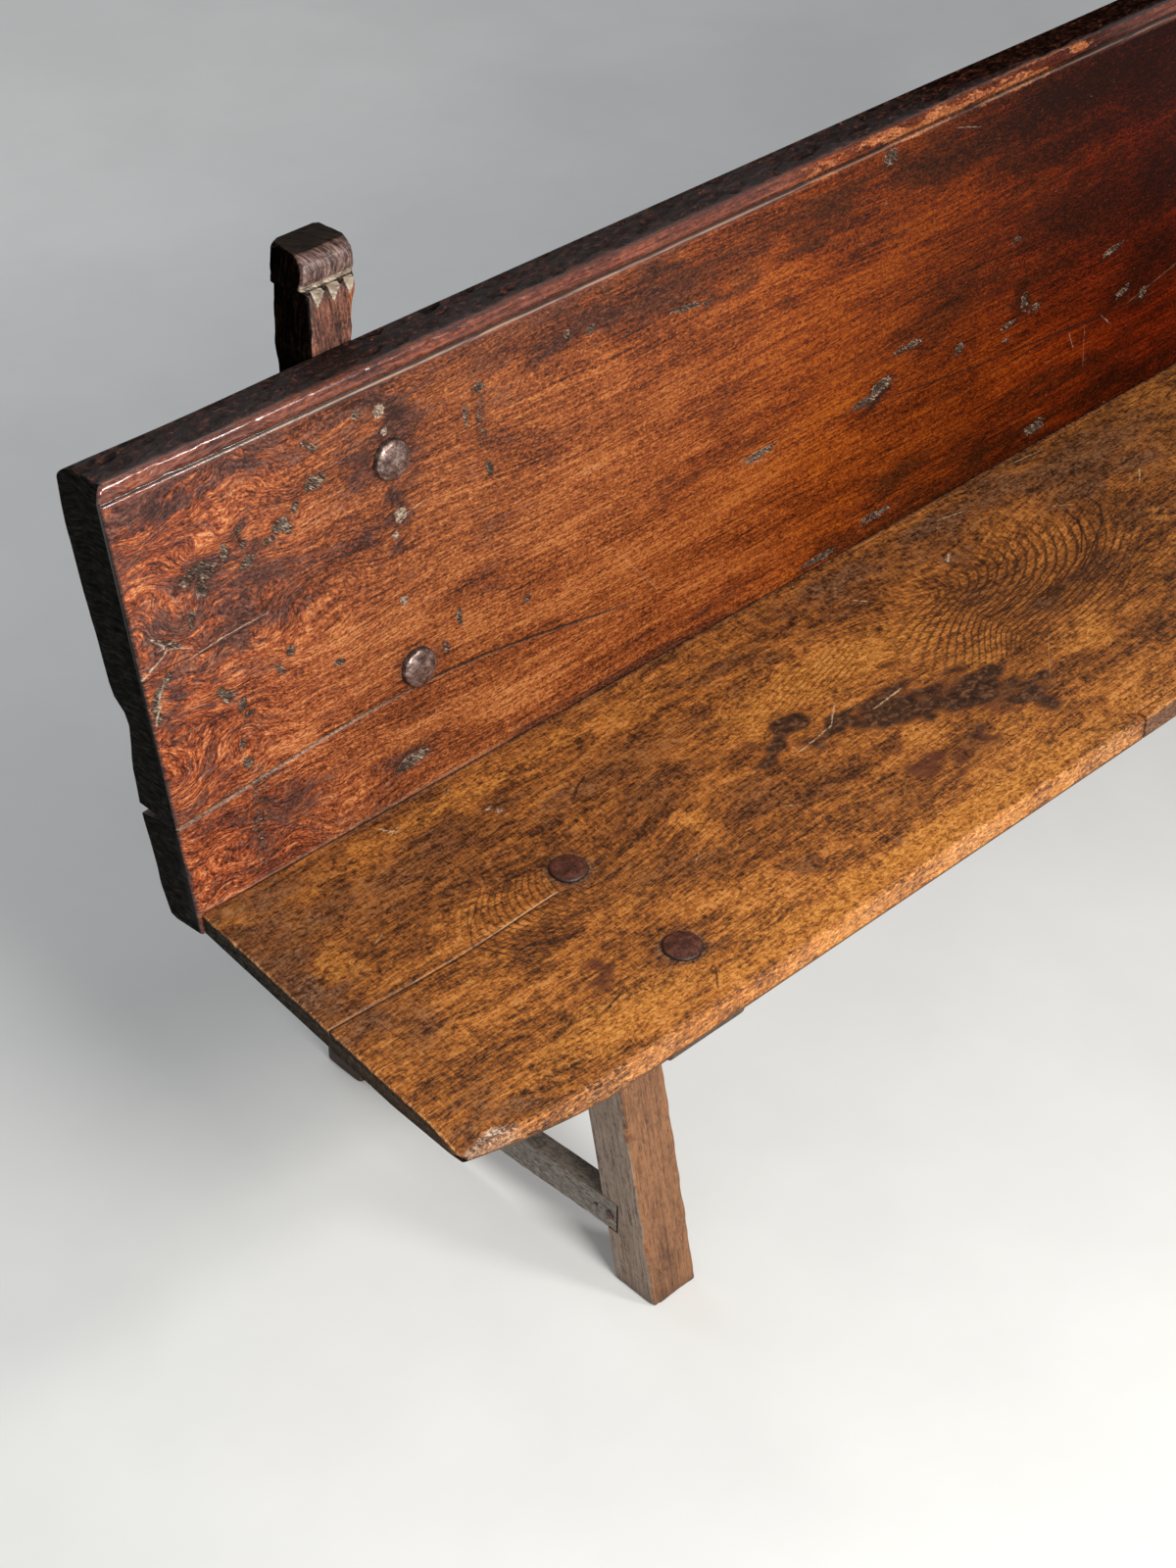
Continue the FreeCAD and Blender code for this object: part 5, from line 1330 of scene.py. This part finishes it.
HEAD_SIDES = ((0, 250.0, 303.5), (455.5, 258.5, 305.5), (511, 263.5, 321.0), (515, 260.0, 325.5),
              (553.5, 265.0, 324.5))
HEAD_FRONT = (
    (0, 60.0), (511, 60.0), (515, 69.0), (518, 66.6), (523, 64.2), (531, 63.0), (538, 64.6),
    (543, 68.2), (547, 72.4), (549, 75.5), (553.5, 107.0))
HEAD_REAR = ((0, 122.0), (455.5, 119.0), (549.5, 111.5), (553.5, 108.0))
HEAD_TOP, HEAD_ROUND = 553.5, 7.0
CROWN_FROM = 548.5
CHIP_TOP, CHIP_LENGTH, CHIP_DEPTH = 511.5, 14.0, 8.0


def make_post(side, label, seed):
    width_steps, depth_steps = 44, 22
    low = steps((3.5, 0.9), (KNEE_HEIGHT, 4.0))
    high = np.concatenate([np.arange(0, 488, 4.0), np.arange(488, 549, 0.9),
                           np.linspace(549, 553.4, 9)])
    side_s, side_outer, side_inner = zip(*HEAD_SIDES)
    outer = np.concatenate([POST_OUTER + POST_OUTER_DRIFT * low / POST_LENGTH,
                            np.interp(high, side_s, side_outer)])
    inner = np.concatenate([POST_INNER + POST_INNER_DRIFT * low / POST_LENGTH,
                            np.interp(high, side_s, side_inner)])
    crown = np.concatenate([0 * low, round_in(HEAD_TOP - high, HEAD_ROUND)])
    outer, inner = outer + crown, inner - crown
    front_t = np.interp(high, *zip(*HEAD_FRONT))
    rear_t = np.interp(high, *zip(*HEAD_REAR))
    is_low = np.concatenate([np.ones(len(low), bool), np.zeros(len(high), bool)])
    height = np.concatenate([low / KNEE_HEIGHT * POST_LENGTH, POST_LENGTH + high])

    # across the ring: front face left to right, inner side, rear face, outer side
    wide, deep = np.arange(width_steps) / width_steps, np.arange(depth_steps) / depth_steps
    x_share = np.concatenate([wide, 0 * deep + 1, 1 - wide[::2], 0 * deep])
    d_share = np.concatenate([0 * wide, deep, 0 * wide[::2] + 1, 1 - deep])
    in_front = (np.arange(len(x_share)) < width_steps)[None, :] & ~is_low[:, None]
    u = outer[:, None] + (inner - outer)[:, None] * x_share
    s = np.concatenate([0 * low, high])[:, None] + 0 * u
    front = np.concatenate([0 * low, front_t])[:, None]
    rear = np.concatenate([0 * low, rear_t])[:, None]
    t = front + (rear - front) * d_share
    # Chip cuts: three hollows whose points run down the neck
    cut_depth, facet, shaded = np.zeros_like(u), np.zeros_like(u), np.zeros_like(u)
    _, chips_from, chips_to = HEAD_SIDES[2]
    pitch = (chips_to - chips_from) / 3
    down = np.clip((CHIP_TOP - s) / CHIP_LENGTH, 0, 1)
    half = pitch / 2 * (1 - down)
    for number in range(3):
        middle = chips_from + pitch * (number + 0.5)
        inside = np.clip(1 - np.abs(u - middle) / np.maximum(half, 0.01), 0, 1)
        here = in_front & (s > 497) & (s < 512.5)
        chip = np.where(here, inside * (1 - down) * CHIP_DEPTH, 0)
        cut_depth = np.maximum(cut_depth, chip)
        # The right half of each cut is painted pale as its lit facet, the left half dark as its
        # shaded facet
        facet = np.maximum(facet, np.where(here & (inside > 0.02) & (u > middle - 1.5), 1.0, 0))
        shaded = np.maximum(shaded, np.where(here & (inside > 0.02) & (u <= middle - 1.5), 1.0, 0))
    t = t + cut_depth
    # The ledge under the head faces down and is painted dark as shade; the lip above it is pale
    ledge = np.where(in_front & (s > 510.5) & (s < 513.6), 1.0, 0.0)
    lip = np.where(in_front & (s > 513.6) & (s < 519.0), 0.62, 0.0)
    pale = np.maximum(facet, lip)
    # Lower part runs straight from the foot to the knee
    y, z = back_place(s, t)
    y[:len(low)] = knee_at(low)[:, None] * (1 - d_share) + post_rear_at(low)[:, None] * d_share
    z[:len(low)] = low[:, None]
    plane = np.stack([u, y, z], -1)
    centre_u = (outer + inner)[:, None] / 2
    side_x = (u - centre_u) / np.maximum((inner - outer)[:, None] / 2, 1)
    side_d = d_share[None, :] * 2 - 1 + 0 * u
    corner = np.clip((np.abs(side_x) + np.abs(side_d)) - 1.72, 0, 1) / 0.28
    wear_depth = corner ** 2 * (1.6 + 1.2 * fbm(plane, (10, 10, 18), 3, seed))
    body = 0.5 * fbm(plane, (30, 30, 70), 3, seed + 3)
    keep = np.where(in_front & (s < 470), 0.0, 1.0)
    push = (wear_depth + body + 0.3) * keep + np.where(is_low[:, None], round_in(z, 3.5), 0)
    u = u - np.sign(side_x) * push * np.clip(np.abs(side_x) * 1.4 - 0.4, 0, 1)
    y = y - np.sign(side_d) * push * np.clip(np.abs(side_d) * 1.4 - 0.4, 0, 1)
    z = z + np.where(s > CROWN_FROM, 0.8 * fbm(plane, (7, 7, 7), 3, seed + 9) - 0.6, 0)
    head = step(s, 515, 518) * (1 - step(s, 548, 550))
    by_board = 0.6 * np.exp(-np.abs(s - BACK_TOP - 0.5) / 5.0) * (s > 450)
    dark = 0.85 * step(s, CROWN_FROM, CROWN_FROM + 2.0) + by_board
    dark = dark + np.where(is_low[:, None], 0.6 * np.exp(-z / 24.0), 0)
    dark = np.maximum(dark * (1 - pale), np.maximum(shaded, ledge))
    ember = np.where(in_front & (s > 458) & (s < 505), step(u, 300, 316), 0) * 0.9
    fields = {"grain": height[:, None] + 0 * u, "girth": u + t * 0.9, "dark": dark, "head": head,
              "pale": pale, "ember": ember}
    piece = grid_mesh(label + "_rear_post_carved", to_row(side, u, y, z), fields)
    cut(piece, housing(side, LAP_REAR - 120, LAP_REAR, 0.0))
    settle(piece, "frame_walnut", post_material, label + "_rear_post")


# Nails and pegs

def dome(name, radius, rim, height, seed, place, sides=56):
    # place turns (a, b, h) on the head into bench millimetres
    radii = np.concatenate([[0.86, 0.97, 1.0, 1.0, 0.985], np.linspace(0.96, 0.05, 15)])
    lifts = np.concatenate([[0.0, 0.0, 0.15, 0.8, 1.0], np.full(15, 1.0)])
    angle = np.linspace(0, 2 * math.pi, sides, endpoint=False)
    circle = np.stack([np.cos(angle), np.sin(angle), 0 * angle + seed], -1)
    wobble = 1 + 0.035 * fbm(circle, 0.8, 2, seed)
    a = radius * radii[:, None] * wobble * np.cos(angle)
    b = radius * radii[:, None] * wobble * np.sin(angle)
    curve = np.sqrt(np.clip(1 - radii ** 2 * 0.985, 0, 1))
    h = np.where(radii < 0.985, rim + (height - rim) * curve ** 0.9, rim * lifts)
    h = np.minimum(h, height)[:, None] + 0 * a
    h[:2] = 0.0
    plane = np.stack([a, b, 0 * a], -1)
    dents = 0.55 * fbm(plane, 11.0, 2, seed + 1) + 0.25 * fbm(plane, 4.0, 2, seed + 2)
    h = h + dents * np.clip(h / height, 0, 1)
    fields = {"dark": np.where(radii > 0.93, 0.8, 0.0)[:, None] + 0 * a}
    return grid_mesh(name, place(a, b, h), fields, sharp_caps=False)


def make_nails(side, label):
    def on_back(cu, cs):
        def place(a, b, h):
            return to_row(side, cu + a, *back_place(cs + b, -h))
        return place

    def on_seat(cu, cy):
        def place(a, b, h):
            return to_row(side, cu + a, cy + b, SEAT_TOP + h)
        return place

    def on_rail(cy):
        def place(a, b, h):
            y = cy + a
            return to_row(side, stretcher_outer(y) - h, y,
                          stretcher_top(cy) - STRETCHER_HEIGHT / 2 + b)
        return place

    heads = [dome(label + "_bn", 21.0, 1.4, 9.0, 7 + k, on_back(*at))
             for k, at in enumerate(BACK_NAILS)]
    settle(join(label + "_back_nail_heads", heads), "forged_iron", dome_iron, label + "_back_nails")
    heads = [dome(label + "_sn", 19.5, 2.2, 4.6, 17 + k, on_seat(*at))
             for k, at in enumerate(SEAT_NAILS)]
    settle(join(label + "_seat_nail_heads", heads), "forged_iron", rust_iron, label + "_seat_nails")
    for name, cy in (("front", LAP_FRONT + 8.5), ("rear", LAP_REAR - 17.0)):
        head = dome(label + "_" + name + "_rail_nail", 5.4, 0.7, 1.7, 27, on_rail(cy), 24)
        settle(head, "forged_iron", rust_iron, label + "_" + name + "_stretcher_nail")


PEG_RADIUS = 4.5
# Pegs: name, end nearer the bench's end, other end, y, z
PEGS = (("leg_peg", 231.0, 329.0, -277.0, 393.0), ("bearer_peg", 248.2, 304.3, 93.3, 399.0))


def make_pegs(side, label):
    for name, low, high, y, z in PEGS:
        ease = np.array([0, 0.2, 0.6, 1.2])
        ends = np.concatenate([ease, high - low - ease[::-1]])
        shrink = np.array([0.82, 0.93, 1, 1, 1, 1, 0.93, 0.82])
        angle = np.linspace(0, 2 * math.pi, 20, endpoint=False)
        facet = 1 + 0.04 * np.sign(np.sin(angle * 3.5))
        radii = PEG_RADIUS * shrink[:, None] * facet
        a, b = radii * np.cos(angle), radii * np.sin(angle)
        u = np.tile((low + ends)[:, None], (1, 20))
        fields = {"grain": u, "girth": a + b, "dark": 0.3 + 0 * u, "wear": 0 * u}
        piece = grid_mesh(label + "_" + name + "_dowel", to_row(side, u, y + a, z + b), fields)
        settle(piece, "peg_wood", peg_material, label + "_" + name)


seat_material = seat_walnut("seat_walnut")
patch_material = seat_walnut("patch_walnut")
leg_material = frame_walnut("leg_walnut", (146, 102, 68), (118, 79, 52), (70, 44, 29),
                            (142, 122, 106), 0.85, 0)
stretcher_material = frame_walnut("stretcher_walnut", (124, 112, 100), (90, 80, 71), (40, 33, 29),
                                  (120, 112, 104), 0.75, 1)
bearer_material = frame_walnut("bearer_walnut", (104, 84, 64), (78, 62, 46), (44, 36, 28),
                               (84, 78, 68), 0.5, 1)
post_material = post_walnut()
peg_material = frame_walnut("peg_wood", (120, 90, 62), (92, 66, 44), (52, 36, 24), (90, 80, 70),
                            0.2, 0)
dome_iron = forged_iron("dome_iron", (54, 38, 34), (120, 96, 88), (176, 156, 148), 0.27, 0.5, 0.7)
rust_iron = forged_iron("rust_iron", (38, 20, 14), (78, 42, 30), (114, 68, 52), 0.46, 0.15, 1.3)

make_back_board()
make_seat_board()
make_patch()
for side, label, seed in ((1, "left", 100), (-1, "right", 200)):
    make_leg(side, label, seed)
    make_stretcher(side, label, seed + 20)
    make_bearer(side, label, seed + 40)
    make_post(side, label, seed + 60)
    make_nails(side, label)
    make_pegs(side, label)

# Floor, light and camera
floor_mesh = bpy.data.meshes.new("floor")
floor_mesh.from_pydata([(-40, -40, 0), (40, -40, 0), (40, 40, 0), (-40, 40, 0)], [], [(0, 1, 2, 3)])
floor = place_in_scene("floor", floor_mesh)
plaster = Shade("floor")
scuffs = plaster.cells(plaster.place, (350, 350, 350), 4, 0.6)
floor_mesh.materials.append(plaster.finish(
    plaster.ramp(scuffs, (0.35, 228, 229, 228), (0.65, 234, 235, 234)),
    plaster.band(scuffs, 0.3, 0.7, 0.75, 0.85), plaster.bump(scuffs, 1.0, 0.1), 0.3))

world = bpy.data.worlds.new("studio")
bpy.context.scene.world = world
world.use_nodes = True
nodes, links = world.node_tree.nodes, world.node_tree.links
nodes.clear()
rays = nodes.new("ShaderNodeLightPath")
seen = None
for ray in ("Is Camera Ray", "Is Glossy Ray", "Is Transmission Ray"):
    either = nodes.new("ShaderNodeMath")
    either.operation = "MAXIMUM"
    links.new(rays.outputs[ray], either.inputs[0])
    if seen is not None:
        links.new(seen, either.inputs[1])
    seen = either.outputs[0]
blend = nodes.new("ShaderNodeMixShader")
links.new(seen, blend.inputs[0])
for socket, tint, strength in ((1, (0.93, 0.96, 1.0, 1), 0.22), (2, (0.97, 0.985, 1.0, 1), 0.40)):
    backdrop = nodes.new("ShaderNodeBackground")
    backdrop.inputs[0].default_value = tint
    backdrop.inputs[1].default_value = strength
    links.new(backdrop.outputs[0], blend.inputs[socket])
links.new(blend.outputs[0], nodes.new("ShaderNodeOutputWorld").inputs[0])


def softbox(name, place, aim, size, power, tint):
    lamp = bpy.data.lights.new(name, "AREA")
    lamp.shape = "RECTANGLE"
    lamp.size, lamp.size_y = size
    lamp.energy = power
    lamp.color = tint
    holder = place_in_scene(name, lamp)
    holder.location = place
    holder.rotation_euler = (Vector(aim) - Vector(place)).to_track_quat("-Z", "Y").to_euler()


softbox("key", (-1.05, -2.1, 1.80), (-0.50, 0.1, 1.25), (0.9, 0.7), 68, (1.0, 0.97, 0.92))
softbox("side", (0.2, -1.9, 2.1), (-0.9, 0.1, 1.40), (0.4, 0.35), 22, (1.0, 0.97, 0.94))
softbox("fill", (-3.0, -0.9, 2.6), (-0.6, 0.0, 0.5), (2.0, 2.0), 7, (0.94, 0.97, 1.0))
softbox("rim", (-0.6, 3.0, 2.6), (-0.5, 0.2, 0.7), (2.6, 1.4), 26, (0.96, 0.98, 1.0))

camera_data = bpy.data.cameras.new("camera")
camera = place_in_scene("camera", camera_data)
camera_data.sensor_width = 36
camera_data.sensor_fit = "AUTO"
camera_data.lens = 65.49
camera_data.clip_start, camera_data.clip_end = 0.05, 100
camera.location = (-2.1484, -1.5837, 2.1999)
camera.rotation_mode = "QUATERNION"
tilt = Euler((math.radians(90 - 38.38), 0, math.radians(-43.62))).to_quaternion()
camera.rotation_quaternion = tilt @ Quaternion((0, 0, 1), math.radians(0.07))
bpy.context.scene.camera = camera
bpy.context.scene.view_settings.view_transform = "Standard"
